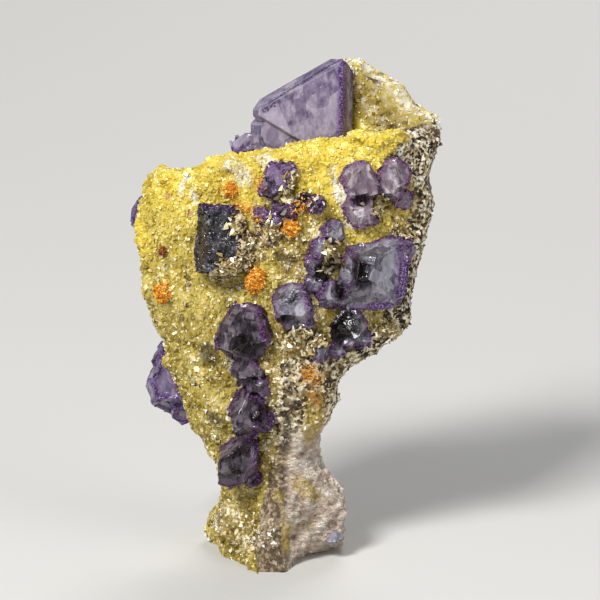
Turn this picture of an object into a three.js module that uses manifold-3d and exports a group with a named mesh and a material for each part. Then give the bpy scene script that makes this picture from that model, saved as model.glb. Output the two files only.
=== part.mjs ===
// Fluorite specimen: a broken, hand-sized piece of rock that stands on its flat foot. A crust of small yellow
// crystals coats its front and its rear wall, purple fluorite crystals have grown on it, and tufts of orange
// iron oxide sit between them.
// Units are millimetres. +Z is up, -Y is the side the specimen is shown by, and the origin is in its foot.
import * as THREE from "three";
import { ImprovedNoise } from "three/addons/math/ImprovedNoise.js";
import { ConvexHull } from "three/addons/math/ConvexHull.js";
import { mergeVertices } from "three/addons/utils/BufferGeometryUtils.js";
import Module from "manifold-3d";

const wasm = await Module();
wasm.setup();

// ---------------------------------------------------------------- driving dimensions
const SEAM = 0.3; // air between two pieces that touch
const CELL = 3.7; // edge of the lattice that the rock's outside is drawn on
const CORE_CELL = 6.4; // the same for the face between the crust and the rock, which nobody sees
const BLEND = 3; // radius of the fillet where two blocks of the rock meet
const NODULE_SPACING = 7; // crust nodules, centre to centre
const NODULE_HEIGHT = 1.5;
const LEDGE_SPACING = 10; // broken ledges of the bare rock
const LEDGE_HEIGHT = 2.6;
const CRUST_DEPTH = 4.5;
const SPACE = { low: [-48, -38, -17], high: [54, 46, 130] }; // a box well clear of the whole rock
const LOOK_UP = -15; // tilt that all the crystals share, so that their front faces look a little upwards
const SLIVER = 2; // mm3, the most that a cut may leave beside a piece

// The rock is the union of these broken blocks, each the hull of its corners.
const BLOCKS = {
  upper: [
    [-34, 3.5, 74.5], [-32.5, 5, 82], [-29, 4, 87.5], [-22.5, 1, 91], [-10, -4, 96.5], [6, -7, 99.5],
    [26, -7, 102.5], [37.5, 1, 98], [37, 1, 92], [35, -2, 84], [34, -3, 70.5], [32, -5, 56],
    [17, -9, 45.5], [2.5, -13, 43], [-19, -3, 30], [-28, 1, 50], [-30.5, 2, 60],
    [-29, 17, 83], [-8, 23, 88], [26, 22, 90], [33, 15, 76], [26, 18, 54], [7, 17, 39], [-9, 16, 34],
    [-22, 15, 48],
  ],
  knob: [
    [-32, 2, 82.5], [-28, 0, 88.5], [-23.5, 0, 91.5], [-20.5, -2, 88],
    [-20, -3, 80], [-31, 1, 78], [-26, 10, 90], [-24, 8, 76],
  ],
  rearWall: [
    [17.5, 13, 115.5], [25.5, 11, 111], [31, 9, 106], [37, 6, 102], [36, 4, 95],
    [19, 27, 110], [30, 25, 102.5], [36, 18, 97], [12, 21, 112], [5, 22, 104], [1, 22, 95],
    [27, 25, 66], [4, 24, 64], [30, 8, 80], [14, 12, 82],
  ],
  nose: [[33, 6, 104], [42, 5, 102.4], [40.5, 4, 100], [30, 9, 97], [31, 2, 97], [30, 5, 104]],
  stem: [
    [-21, 0, 35.5], [-17, 1, 25], [-12.5, 0, 19], [-11.5, 0, 12], [2.5, -12.5, 50], [2.5, -11, 24],
    [16, -8, 45],
    [8.5, -6, 35.5], [6.5, -5.5, 31.5], [6, -5.5, 24.5], [8.5, -5, 21],
    [-12, 17, 36], [3, 17, 36], [-9, 19, 14], [5, 19, 14],
  ],
  toe: [
    [-12, 2, 10.5], [-15, 6, 6], [-17.5, 10, 0], [-15.5, 4, -3], [-9.5, -6, -3], [-6, -17, -3],
    [-3.5, -19.5, -3],
    [3, -21.5, -3], [4, -5, -3], [2, -11.5, 17.5], [-12, 22, -3], [0, 24, -3], [-9, 20, 16], [4, 20, 18],
  ],
  heel: [
    [11, -4, 21.5], [15, -4, 17], [16.5, -4, 13.5], [16.5, -4, 6.5], [14.5, -3, 3.6], [8, -5, 2.8],
    [2.5, -11, 24.5],
    [2.5, -12, 13], [4, -9, 1], [13, 20, -3], [12, 19, 10], [2, 23, -3], [2, 20, 20], [14, 9, -3], [9, 5, -3],
  ],
};

// Where the crust ends on the front: its right edge, as [height, x].
const CRUST_EDGE = [
  [0, -2.5], [15, -1.6], [30, 1.8], [47, 2.8], [52, 17], [60, 28], [70, 31], [82, 31.5], [99, 27.6],
  [104, 40],
];
// Where it ends on the back, as [height, y].
const CRUST_BACK = [[0, 12], [30, 7], [60, 9], [88, 13], [98, 19], [120, 20]];

// The crystals of fluorite, in the groups that have grown together.
// `at` is a crystal's centre: [x, z] on the front, `out` in front of the rock there, and [x, y, z] elsewhere.
// `face` is the form that looks forward.
// `turn` is its tilt, its roll in the plane of the face and its swing to the side, in degrees.
// `octa` and `cube` are the distances of the octahedral and the cube faces from the centre, or a pair of
// them, for the faces that look forward and those that look back.
// `front` is the distance of the forward face where it differs.
// `stretch` lengthens the crystal across, in depth and up.
const OCTA = [1, -1, 1];
const CUBE = [0, -1, 0];
const CRYSTALS = {
  summit_crystal: [
    { at: [8.9, 9, 102.7], face: OCTA, turn: [3, 45, -3], octa: [7.7, 12.5], cube: [12.4, 8.4], front: 4 },
    { at: [7, 9.3, 97.4], face: OCTA, turn: [3, 45, -3], octa: [7.8, 12], cube: [10.2, 8.4], front: 3.6 },
  ],
  ridge_crystal: [{ at: [-5.7, 5, 94.8], face: OCTA, turn: [0, 18, 8], octa: 3.5, cube: 4.5 }],
  left_rim_crystal: [
    { at: [-29.8, 8, 79.6], face: CUBE, turn: [0, 45, 15], octa: 3, cube: 3.6, stretch: [0.9, 1, 1.25] },
  ],
  back_crystals: [
    { at: [-23, 8, 39.5], face: OCTA, turn: [0, 15, -10], octa: 5.7, cube: 6.9, stretch: [1, 1, 1.15] },
    { at: [-24.6, 9, 44.4], face: OCTA, turn: [25, 40, -30], octa: 3.1, cube: 3.7 },
    { at: [-21, 7.5, 33.6], face: CUBE, turn: [-5, 30, -20], octa: 3.5, cube: 4 },
  ],
  dark_block: [
    { at: [-12.7, 76.8], out: 2.4, face: CUBE, turn: [0, 5, 12],
      octa: 6.9, cube: 5.1, front: 4.4, stretch: [0.92, 1, 1.5] },
    { at: [-6.9, 76.2], out: 1, face: OCTA, turn: [35, 15, 30], octa: 2.6, cube: 3.1 },
    { at: [-7.3, 72.4], out: 1, face: OCTA, turn: [-10, 50, 10], octa: 2.3, cube: 2.8 },
    { at: [-12, 69.8], out: 1, face: OCTA, turn: [-15, 70, 20], octa: 2.2, cube: 2.7 },
  ],
  upper_cluster: [
    { at: [0, 90.4], out: 1, face: CUBE, turn: [0, 28, 16], octa: 3.7, cube: 3.5, stretch: [0.9, 1, 1.15] },
    { at: [3, 92.8], out: 0.6, face: OCTA, turn: [0, 75, -10], octa: 2, cube: 2.4 },
    { at: [2.5, 84.6], out: 1.2, face: OCTA, turn: [-6, 30, 5], octa: 2.3, cube: 2.8, stretch: [1.2, 1, 1] },
    { at: [6.6, 86], out: 0.6, face: OCTA, turn: [-15, 10, 25], octa: 1.8, cube: 2.2 },
    { at: [9.6, 85.9], out: 1, face: CUBE, turn: [10, 40, -15], octa: 1.8, cube: 2.1 },
    { at: [-1, 79.2], out: 0.8, face: CUBE, turn: [-10, 35, 10], octa: 1.9, cube: 2.1, stretch: [1, 1, 1.3] },
    { at: [-3.1, 82.8], out: 0.4, face: OCTA, turn: [5, 55, 10], octa: 1.6, cube: 2 },
    { at: [-0.3, 81.9], out: 0.6, face: OCTA, turn: [-20, 20, -20], octa: 1.8, cube: 2.1 },
  ],
  heart_twin: [
    { at: [19.3, 91.4], out: 1.6, face: OCTA, turn: [6, 12, 12],
      octa: 3.4, cube: 4.5, stretch: [1, 1, 1.15] },
    { at: [19.7, 84.4], out: 1.6, face: OCTA, turn: [-12, 60, -6],
      octa: 3.6, cube: 4.2, stretch: [1.15, 1, 1] },
    { at: [26.2, 90.4], out: 1.6, face: OCTA, turn: [0, 18, -14],
      octa: 3.8, cube: 4.8, stretch: [0.95, 1, 1.2] },
    { at: [28.9, 86], out: 0.8, face: CUBE, turn: [-5, 30, -12], octa: 2.2, cube: 2.5 },
  ],
  right_cluster: [
    { at: [22.2, 69.5], out: 3, face: CUBE, turn: [-4, 44, -14],
      octa: 6.3, cube: 9, front: 7.9, stretch: [1, 1, 1.17] },
    { at: [28.8, 74.4], out: 1, face: CUBE, turn: [5, 10, -20], octa: 2.7, cube: 3 },
    { at: [13.2, 79.2], out: 1.4, face: OCTA, turn: [-5, 40, 15], octa: 2.5, cube: 3 },
    { at: [10.3, 76], out: 1, face: CUBE, turn: [5, 20, 20], octa: 2.1, cube: 2.5 },
    { at: [9, 72], out: 1, face: OCTA, turn: [0, 70, 15], octa: 2, cube: 2.4 },
    { at: [9.4, 68], out: 1, face: CUBE, turn: [-10, 60, 10], octa: 2.2, cube: 2.6 },
    { at: [12.4, 65.2], out: 1.4, face: OCTA, turn: [-10, 10, 10], octa: 2.9, cube: 3.4 },
    { at: [16.8, 57.2], out: 1.2, face: OCTA, turn: [-15, 20, -8],
      octa: 3.5, cube: 4.1, stretch: [1, 1, 1.2] },
    { at: [19.6, 54.2], out: 0.8, face: CUBE, turn: [-15, 35, -20], octa: 2.1, cube: 2.5 },
    { at: [10.2, 52.6], out: 0.8, face: OCTA, turn: [-5, 80, 10],
      octa: 1.9, cube: 2.3, stretch: [1.4, 1, 0.95] },
    { at: [13.9, 51.9], out: 0.6, face: OCTA, turn: [-20, 30, 0],
      octa: 1.8, cube: 2.1, stretch: [1.2, 1, 1] },
  ],
  middle_crystal: [
    { at: [4.2, 63], out: 1.8, face: OCTA, turn: [-4, 30, 12], octa: 4.1, cube: 4.9 },
    { at: [6, 58.4], out: 1, face: CUBE, turn: [-10, 30, -10], octa: 2.5, cube: 2.8 },
  ],
  high_column_crystals: [
    { at: [-6.8, 55.6], out: 2.2, face: CUBE, turn: [-3, 32, 12],
      octa: 5.8, cube: 5.6, stretch: [1, 1, 1.12] },
    { at: [-6.3, 46.6], out: 1.6, face: OCTA, turn: [-15, 10, 6],
      octa: 2.9, cube: 3.5, stretch: [1.1, 1, 1] },
    { at: [-4.1, 43], out: 1, face: CUBE, turn: [5, 50, -8], octa: 2.4, cube: 2.8 },
  ],
  middle_column_crystals: [
    { at: [-6.1, 37.2], out: 1.6, face: OCTA, turn: [-4, 22, 14],
      octa: 3.8, cube: 4.6, stretch: [0.95, 1, 1.45] },
    { at: [-2.7, 35], out: 1, face: CUBE, turn: [0, 40, -10], octa: 2.3, cube: 2.6 },
  ],
  low_column_crystals: [
    { at: [-8.2, 25], out: 3, face: OCTA, turn: [-6, 42, 14], octa: 4, cube: 4.8, stretch: [0.95, 1, 1.5] },
    { at: [-5.5, 20.4], out: 0.8, face: CUBE, turn: [-10, 25, 0], octa: 2, cube: 2.4 },
  ],
  foot_crystal: [{ at: [13.7, 5.2], out: 0.2, face: OCTA, turn: [-5, 15, -15], octa: 1.4, cube: 1.7 }],
};

// The tufts of iron oxide, placed as the crystals are. `stretch` draws a tuft out across, in depth and up.
const TUFTS = {
  iron_tuft_crown: { at: [-9.7, 87.8], out: 0.2, radius: 2.2, stretch: [1, 0.7, 1] },
  iron_tuft_shoulder: { at: [-6.2, 83.4], out: 0.2, radius: 1.7, stretch: [1.1, 0.8, 1.1] },
  iron_tuft_centre: { at: [3.6, 79.8], out: 0.2, radius: 2.3, stretch: [1, 0.7, 1] },
  iron_tuft_below_block: { at: [-4.4, 67.6], out: 0.2, radius: 2.9, stretch: [0.95, 0.7, 1.25] },
  iron_tuft_left: { at: [-25.8, 62.6], out: 0.3, radius: 2.7, stretch: [0.8, 0.7, 1.2] },
  iron_tuft_left_small: { at: [-25.8, 72.2], out: 0.3, radius: 1.4, stretch: [0.8, 0.8, 1] },
};

const COLOURS = { rock: 0xb3a58c, crust: 0xc2ab48, fluorite: 0x6b5a86, iron: 0xd9821f };

// ---------------------------------------------------------------- small tools
const vec = ([x, y, z]) => new THREE.Vector3(x, y, z);
const radians = THREE.MathUtils.degToRad;

/** A straight-line reading between the [where, value] pairs of a list. */
function along(pairs, where) {
  const next = pairs.findIndex(([w]) => w >= where);
  if (next === -1) return pairs.at(-1)[1];
  if (next === 0) return pairs[0][1];
  const [[w0, v0], [w1, v1]] = [pairs[next - 1], pairs[next]];
  return v0 + ((where - w0) / (w1 - w0)) * (v1 - v0);
}

/** A fixed number from 0 to 1 for a cell of the lattice. */
function chance(i, j, k, salt) {
  const v = Math.sin(i * 127.1 + j * 311.7 + k * 74.7 + salt * 53.3) * 43758.5453;
  return v - Math.floor(v);
}

/** A closed geometry as a solid. */
function solidOf(geometry) {
  const bare = geometry.clone();
  bare.deleteAttribute("normal");
  bare.deleteAttribute("uv");
  const merged = mergeVertices(bare, 1e-4);
  const vertProperties = new Float32Array(merged.attributes.position.array);
  const triVerts = new Uint32Array(merged.index.array);
  return new wasm.Manifold(new wasm.Mesh({ numProp: 3, vertProperties, triVerts }));
}

/** A solid as a geometry. */
function geometryOf(solid) {
  const { vertProperties, triVerts } = solid.getMesh();
  const geometry = new THREE.BufferGeometry();
  geometry.setAttribute("position", new THREE.BufferAttribute(new Float32Array(vertProperties), 3));
  geometry.setIndex(new THREE.BufferAttribute(new Uint32Array(triVerts), 1));
  geometry.computeVertexNormals();
  return geometry;
}

/** The one body of a solid, without the slivers that a cut can leave beside it. */
function oneBody(name, solid) {
  const [body, ...rest] = solid.decompose().sort((a, b) => b.volume() - a.volume());
  if (!body || rest.some((piece) => piece.volume() > SLIVER)) throw new Error(`${name} isn't one piece`);
  return body;
}

/** A solid whose surface is moved outwards by a distance. */
function grown(solid, distance) {
  const geometry = geometryOf(solid);
  const { position, normal } = geometry.attributes;
  for (let i = 0; i < position.count; i++) {
    const p = new THREE.Vector3().fromBufferAttribute(position, i);
    p.addScaledVector(new THREE.Vector3().fromBufferAttribute(normal, i), distance);
    position.setXYZ(i, p.x, p.y, p.z);
  }
  return solidOf(geometry);
}

// ---------------------------------------------------------------- the rock's outside
const perlin = new ImprovedNoise();

/** The planes of the hull of some corners. */
const hullPlanes = (corners) => new ConvexHull().setFromPoints(corners.map(vec)).faces;
const blocks = Object.values(BLOCKS).map(hullPlanes);

/** How far a point lies outside one block: negative inside it. */
const outsideBlock = (planes, p) => Math.max(...planes.map((plane) => plane.normal.dot(p) - plane.constant));

/** The lesser of two distances, with a fillet between them. */
function filleted(a, b) {
  const h = Math.max(BLEND - Math.abs(a - b), 0) / BLEND;
  return Math.min(a, b) - (h * h * BLEND) / 4;
}

/** How bare the rock is at a point: 0 under the crust, 1 where the rock is broken. */
function bareness(p) {
  const past = Math.max(p.x - along(CRUST_EDGE, p.z), p.y - along(CRUST_BACK, p.z));
  return THREE.MathUtils.smoothstep(past, -4, 0.5);
}

/** The height of the crust's nodules at a point: round domes on scattered centres. */
function nodules(p) {
  const [i, j, k] = [p.x, p.y, p.z].map((v) => Math.floor(v / NODULE_SPACING));
  let nearest = Infinity;
  for (const a of [i - 1, i, i + 1])
    for (const b of [j - 1, j, j + 1])
      for (const c of [k - 1, k, k + 1]) {
        const centre = [a, b, c].map((v, axis) => (v + 0.15 + 0.7 * chance(a, b, c, axis)) * NODULE_SPACING);
        nearest = Math.min(nearest, vec(centre).distanceTo(p));
      }
  return NODULE_HEIGHT * (1 - 4 * (nearest / NODULE_SPACING) ** 2);
}

/** The height of the broken rock's ledges at a point: steeper across the bedding than along it. */
function ledges(p) {
  const { x, y, z } = p.clone().divideScalar(LEDGE_SPACING);
  return LEDGE_HEIGHT * perlin.noise(x + 9.2, y + 3.1, 1.6 * z);
}

/** The rock's field: negative inside, and close to the distance from its surface. */
function rockField(p) {
  const plain = blocks.map((planes) => outsideBlock(planes, p)).reduce(filleted);
  const bare = bareness(p);
  return plain - (1 - bare) * nodules(p) - bare * ledges(p);
}

/** The field of the rock under the crust: deeper than the surface, but past it where the rock is bare. */
function coreField(p) {
  const plain = blocks.map((planes) => outsideBlock(planes, p)).reduce(filleted);
  return plain + THREE.MathUtils.lerp(CRUST_DEPTH, -3, bareness(p));
}

// The corners of a lattice cell, in the order of their bits: x is the first, y the second and z the third.
const CORNERS = [0, 1, 2, 3, 4, 5, 6, 7].map((bits) => [bits & 1, (bits >> 1) & 1, bits >> 2]);

/** The point in a lattice cell where a surface passes: the mean of its crossings with the cell's edges. */
function crossing(values) {
  const sum = new THREE.Vector3();
  let count = 0;
  for (let a = 0; a < 8; a++)
    for (const b of [a | 1, a | 2, a | 4]) {
      if (b === a || values[a] < 0 === values[b] < 0) continue;
      sum.add(vec(CORNERS[a]).lerp(vec(CORNERS[b]), values[a] / (values[a] - values[b])));
      count++;
    }
  return sum.divideScalar(count);
}

/**
 * Fills in a lattice point wherever the four corners of a square are in and out by turns. A net would touch
 * itself along an edge there.
 */
function untangle(values, [nx, ny, nz], depth) {
  const steps = [1, nx, nx * ny];
  const out = (n) => values[n] >= 0;
  let tangled = true;
  while (tangled) {
    tangled = false;
    for (let n = 0; n < nx * ny * (nz - 1) - nx - 1; n++)
      for (const [u, v] of [[0, 1], [0, 2], [1, 2]]) {
        const [a, b, c, d] = [n, n + steps[u], n + steps[u] + steps[v], n + steps[v]];
        if (out(a) !== out(c) || out(b) !== out(d) || out(a) === out(b)) continue;
        values[out(a) ? a : b] = -depth;
        tangled = true;
      }
  }
}

/** The surface where a field is zero: a closed net of quads, with a corner in each lattice cell it passes. */
function surfaceNet(field, cell) {
  const [nx, ny, nz] = SPACE.low.map((low, axis) => Math.ceil((SPACE.high[axis] - low) / cell) + 1);
  const at = (i, j, k) => (k * ny + j) * nx + i;
  const point = (i, j, k) => vec(SPACE.low).add(new THREE.Vector3(i, j, k).multiplyScalar(cell));
  const values = new Float64Array(nx * ny * nz);
  for (let k = 0; k < nz; k++)
    for (let j = 0; j < ny; j++)
      for (let i = 0; i < nx; i++) values[at(i, j, k)] = field(point(i, j, k));
  untangle(values, [nx, ny, nz], cell / 10);

  const positions = [];
  const numbers = new Map();
  const corner = (i, j, k) => {
    if (!numbers.has(at(i, j, k))) {
      const cube = CORNERS.map(([a, b, c]) => values[at(i + a, j + b, k + c)]);
      numbers.set(at(i, j, k), positions.length / 3);
      positions.push(...crossing(cube).multiplyScalar(cell).add(point(i, j, k)).toArray());
    }
    return numbers.get(at(i, j, k));
  };

  const index = [];
  const quad = (outward, a, b, c, d) => index.push(...(outward ? [a, b, c, a, c, d] : [a, c, b, a, d, c]));
  for (let k = 1; k < nz - 1; k++)
    for (let j = 1; j < ny - 1; j++)
      for (let i = 1; i < nx - 1; i++) {
        const inside = values[at(i, j, k)] < 0;
        if (inside !== values[at(i + 1, j, k)] < 0)
          quad(inside, corner(i, j, k), corner(i, j - 1, k), corner(i, j - 1, k - 1), corner(i, j, k - 1));
        if (inside !== values[at(i, j + 1, k)] < 0)
          quad(inside, corner(i, j, k), corner(i, j, k - 1), corner(i - 1, j, k - 1), corner(i - 1, j, k));
        if (inside !== values[at(i, j, k + 1)] < 0)
          quad(inside, corner(i, j, k), corner(i - 1, j, k), corner(i - 1, j - 1, k), corner(i, j - 1, k));
      }
  const geometry = new THREE.BufferGeometry();
  geometry.setAttribute("position", new THREE.Float32BufferAttribute(positions, 3));
  geometry.setIndex(index);
  return solidOf(geometry);
}

// ---------------------------------------------------------------- the crystals
const FORWARD = new THREE.Vector3(0, -1, 0);
const SIGNS = [-1, 1];
const OCTA_NORMALS = SIGNS.flatMap((a) => SIGNS.flatMap((b) => SIGNS.map((c) => vec([a, b, c]).normalize())));
const CUBE_NORMALS = SIGNS.flatMap((s) => [vec([s, 0, 0]), vec([0, s, 0]), vec([0, 0, s])]);

/** The point where something sits: as it is given, or in front of the rock where only [x, z] is given. */
function seatOf({ at, out }) {
  if (at.length === 3) return at;
  const [x, z] = at;
  let y = SPACE.low[1];
  while (rockField(new THREE.Vector3(x, y, z)) > 0.05) y += 0.1;
  return [x, y - out, z];
}

/** One crystal: the space inside its octahedral and cube faces, which can be grown by a margin. */
function crystalOf({ at, out, face, turn, octa, cube, front = Infinity, stretch = [1, 1, 1] }, margin = 0) {
  const lookForward = new THREE.Quaternion().setFromUnitVectors(vec(face).normalize(), FORWARD);
  const [tilt, roll, swing] = [turn[0] + LOOK_UP, turn[1], turn[2]].map(radians);
  const turned = new THREE.Quaternion().setFromEuler(new THREE.Euler(tilt, roll, swing, "ZXY"));
  const scale = vec(stretch);
  const forms = [...OCTA_NORMALS.map((n) => [n, octa]), ...CUBE_NORMALS.map((n) => [n, cube])];
  let body = solidOf(new THREE.BoxGeometry(80, 80, 80));
  for (const [direction, distances] of forms) {
    const normal = direction.clone().applyQuaternion(lookForward);
    const forward = normal.dot(FORWARD);
    const [near, far] = [distances].flat();
    const distance = forward < -0.01 ? (far ?? near) : near;
    const reach = forward > 0.99 ? Math.min(distance, front) : distance;
    const drawn = normal.divide(scale);
    const length = drawn.length();
    drawn.divideScalar(length).applyQuaternion(turned);
    body = body.trimByPlane(drawn.negate().toArray(), -(reach / length + margin));
  }
  return body.translate(seatOf({ at, out }));
}

/** A group of crystals grown together, as one solid. */
const groupOf = (crystals, margin) => crystals.map((c) => crystalOf(c, margin)).reduce((a, b) => a.add(b));

/** A tuft of fine iron oxide: a lumpy ball, drawn out to its shape. */
function tuftOf({ at, out, radius, stretch }, margin = 0) {
  const ball = new THREE.IcosahedronGeometry(radius, 1).deleteAttribute("uv").deleteAttribute("normal");
  const geometry = mergeVertices(ball);
  const { position } = geometry.attributes;
  const centre = vec(seatOf({ at, out }));
  for (let i = 0; i < position.count; i++) {
    const p = new THREE.Vector3().fromBufferAttribute(position, i);
    const lump = 0.85 + 0.4 * chance(i, radius * 10, 3, 1);
    p.multiply(vec(stretch)).multiplyScalar(lump).setLength(p.length() + margin);
    position.setXYZ(i, ...p.add(centre).toArray());
  }
  return solidOf(geometry);
}

// ---------------------------------------------------------------- assembly
const ground = solidOf(new THREE.BoxGeometry(200, 200, 40).translate(0, 0, -20));
const whole = surfaceNet(rockField, CELL).subtract(ground);
const core = surfaceNet(coreField, CORE_CELL);
const clearance = grown(whole, SEAM);

const group = new THREE.Group();

function place(name, solid, color, roughness) {
  const material = new THREE.MeshStandardMaterial({ color, roughness, metalness: 0 });
  const mesh = new THREE.Mesh(geometryOf(oneBody(name, solid)), material);
  mesh.name = name;
  group.add(mesh);
}

place("host_rock", whole.intersect(core), COLOURS.rock, 0.9);
place("yellow_crust", whole.subtract(grown(core, SEAM)), COLOURS.crust, 0.6);

let taken = clearance; // what the pieces so far keep a seam to
for (const [name, crystals] of Object.entries(CRYSTALS)) {
  place(name, groupOf(crystals).subtract(taken), COLOURS.fluorite, 0.15);
  taken = taken.add(groupOf(crystals, SEAM));
}
for (const [name, tuft] of Object.entries(TUFTS)) {
  place(name, tuftOf(tuft).subtract(taken), COLOURS.iron, 0.95);
  taken = taken.add(tuftOf(tuft, SEAM));
}

export default group;
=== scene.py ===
"""A fluorite specimen: crust, broken rock, crystals and iron tufts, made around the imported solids.

Lengths are metres, and a name that ends in _mm holds millimetres. The specimen stands on its foot with +Z up,
and its crystal side looks along -Y. Weights, shares and places on a colour ramp have no unit.
"""

import logging
import math
from collections.abc import Callable
from dataclasses import dataclass, field
from enum import Enum
from functools import partial

import bmesh
import bpy
import numpy as np
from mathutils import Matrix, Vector, noise
from mathutils.bvhtree import BVHTree
from mathutils.kdtree import KDTree


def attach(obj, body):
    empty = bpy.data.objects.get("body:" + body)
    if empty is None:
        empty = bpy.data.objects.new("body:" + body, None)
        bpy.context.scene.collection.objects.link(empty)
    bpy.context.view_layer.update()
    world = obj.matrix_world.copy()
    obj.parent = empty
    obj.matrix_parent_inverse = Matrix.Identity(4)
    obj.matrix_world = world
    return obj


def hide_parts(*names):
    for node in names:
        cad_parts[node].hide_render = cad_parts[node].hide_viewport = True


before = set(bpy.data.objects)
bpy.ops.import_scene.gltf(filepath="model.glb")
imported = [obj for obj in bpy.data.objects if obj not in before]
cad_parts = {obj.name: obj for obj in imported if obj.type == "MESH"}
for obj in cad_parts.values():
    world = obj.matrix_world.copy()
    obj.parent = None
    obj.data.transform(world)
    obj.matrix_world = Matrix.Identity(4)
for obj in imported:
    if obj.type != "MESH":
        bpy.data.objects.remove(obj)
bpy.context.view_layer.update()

LOG = logging.getLogger("fluorite_specimen")
MM = 0.001
SEED = 11

Point = tuple[float, float, float]
Piece = bpy.types.Object
Socket = bpy.types.NodeSocket
Input = Socket | float | str | Point
Adder = Callable[..., Socket]
Rng = np.random.Generator


class Slot(Enum):
    """The record's material slots."""

    ROCK = "rock"
    CRUST = "crust"
    FLUORITE = "fluorite"
    IRON = "iron_oxide"


class Shape(Enum):
    """The kinds of small crystal, each modelled and then copied."""

    BLOCK = "block"
    BIPYRAMID = "bipyramid"
    CHIP = "chip"
    BLADE = "blade"


# ---------------------------------------------------------------- colour and nodes
def linear(colour: str) -> tuple[float, float, float, float]:
    """Turns an sRGB colour such as "#c8a040" to the linear values that a shader takes.

    Args:
        colour: the hex colour.

    Returns:
        Linear red, green, blue and an alpha of 1.
    """
    parts = [int(colour[i : i + 2], 16) / 255 for i in (1, 3, 5)]
    red, green, blue = [p / 12.92 if p <= 0.04045 else ((p + 0.055) / 1.055) ** 2.4 for p in parts]
    return red, green, blue, 1.0


def add_node(
    tree: bpy.types.NodeTree,
    kind: str,
    *values: Input,
    out: int | str = 0,
    stops: dict[float, str] | None = None,
    **named: Input,
) -> Socket | None:
    """Adds a node to a shader, with its settings and links.

    Args:
        tree: the shader's tree.
        kind: the node's type name, without "ShaderNode".
        *values: its first inputs, in order: numbers, vectors, hex colours or other nodes' outputs.
        out: the name or number of the output that is wanted.
        stops: the hex colours of a colour ramp, by their places.
        **named: further inputs, whose names start with a capital, such as Base_Color, and its settings.

    Returns:
        That output, or nothing from a node that has none.
    """
    node = tree.nodes.new("ShaderNode" + kind)
    inputs = dict(enumerate(values))
    for name, value in named.items():
        if name[0].isupper():
            inputs[name.replace("_", " ")] = value
        else:
            setattr(node, name, value)
    for name, value in inputs.items():
        if isinstance(value, Socket):
            tree.links.new(value, node.inputs[name])
        else:
            node.inputs[name].default_value = linear(value) if isinstance(value, str) else value
    if stops:
        elements = node.color_ramp.elements
        while len(elements) < len(stops):
            elements.new(1.0)
        for element, (place, colour) in zip(elements, stops.items()):
            element.position = place
            element.color = linear(colour)
    return node.outputs[out] if node.outputs else None


def pitch(size_mm: float) -> float:
    """The scale of a noise or cell pattern whose features have this size."""
    return 1 / (size_mm * MM)


# ---------------------------------------------------------------- work on meshes
def new_piece(name: str, vertices: np.ndarray | list, faces: list) -> Piece:
    """Makes an object at the origin.

    Args:
        name: the piece's name.
        vertices: its points, in metres.
        faces: its faces, as lists of point numbers.

    Returns:
        The new object, in the scene.
    """
    mesh = bpy.data.meshes.new(name)
    mesh.from_pydata(np.asarray(vertices).tolist(), [], [list(map(int, f)) for f in faces])
    mesh.update()
    piece = bpy.data.objects.new(name, mesh)
    bpy.context.scene.collection.objects.link(piece)
    return piece


def copy_of(name: str, *nodes: str) -> Piece:
    """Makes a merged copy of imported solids, in one object.

    Args:
        name: the copy's name.
        *nodes: the solids to copy.

    Returns:
        The copy, whose faces share their corners.
    """
    shape = bmesh.new()
    for node in nodes:
        shape.from_mesh(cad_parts[node].data)
    bmesh.ops.remove_doubles(shape, verts=shape.verts, dist=0.001 * MM)
    vertices = [v.co.copy() for v in shape.verts]
    faces = [[v.index for v in f.verts] for f in shape.faces]
    shape.free()
    return new_piece(name, vertices, faces)


def select_only(*pieces: Piece) -> None:
    """Selects some pieces alone, and makes the first one active.

    Args:
        *pieces: the pieces.
    """
    bpy.ops.object.select_all(action="DESELECT")
    for piece in pieces:
        piece.select_set(True)
    bpy.context.view_layer.objects.active = pieces[0]


def modify(piece: Piece, kind: str, **settings: float | str) -> None:
    """Adds a modifier to a piece and applies it.

    Args:
        piece: the piece.
        kind: the modifier's type.
        **settings: its settings.
    """
    select_only(piece)
    modifier = piece.modifiers.new(kind.lower(), kind)
    for name, value in settings.items():
        setattr(modifier, name, value)
    bpy.ops.object.modifier_apply(modifier=modifier.name)


def points_of(piece: Piece, kind: str = "co") -> np.ndarray:
    """Reads the places or directions of a mesh's points.

    Args:
        piece: the mesh.
        kind: "co" for the places, "normal" for the outward directions.

    Returns:
        One row for each point.
    """
    values = np.empty(len(piece.data.vertices) * 3)
    piece.data.vertices.foreach_get(kind, values)
    return values.reshape(-1, 3)


def move_points(piece: Piece, places: np.ndarray) -> None:
    """Gives a mesh's points new places."""
    piece.data.vertices.foreach_set("co", places.ravel())
    piece.data.update()


def above_floor(places: np.ndarray) -> np.ndarray:
    """Places, with those that would be below the floor on it."""
    return np.column_stack([places[:, :2], np.maximum(places[:, 2], 0.0)])


def store(piece: Piece, **fields: np.ndarray) -> None:
    """Keeps numbers at each of a mesh's points, for its material to read.

    Args:
        piece: the mesh.
        **fields: the numbers, by the name that the material reads them by.
    """
    for name, values in fields.items():
        attribute = piece.data.attributes.new(name, "FLOAT", "POINT")
        attribute.data.foreach_set("value", np.asarray(values, dtype=np.float32))


def unit(vectors: np.ndarray) -> np.ndarray:
    """The same directions with a length of 1, one row each."""
    return vectors / np.maximum(np.linalg.norm(vectors, axis=1, keepdims=True), 1e-12)


def smoothstep(values: np.ndarray, low: float, high: float) -> np.ndarray:
    """Runs smoothly from 0 at low to 1 at high."""
    t = np.clip((values - low) / (high - low), 0, 1)
    return t * t * (3 - 2 * t)


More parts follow.
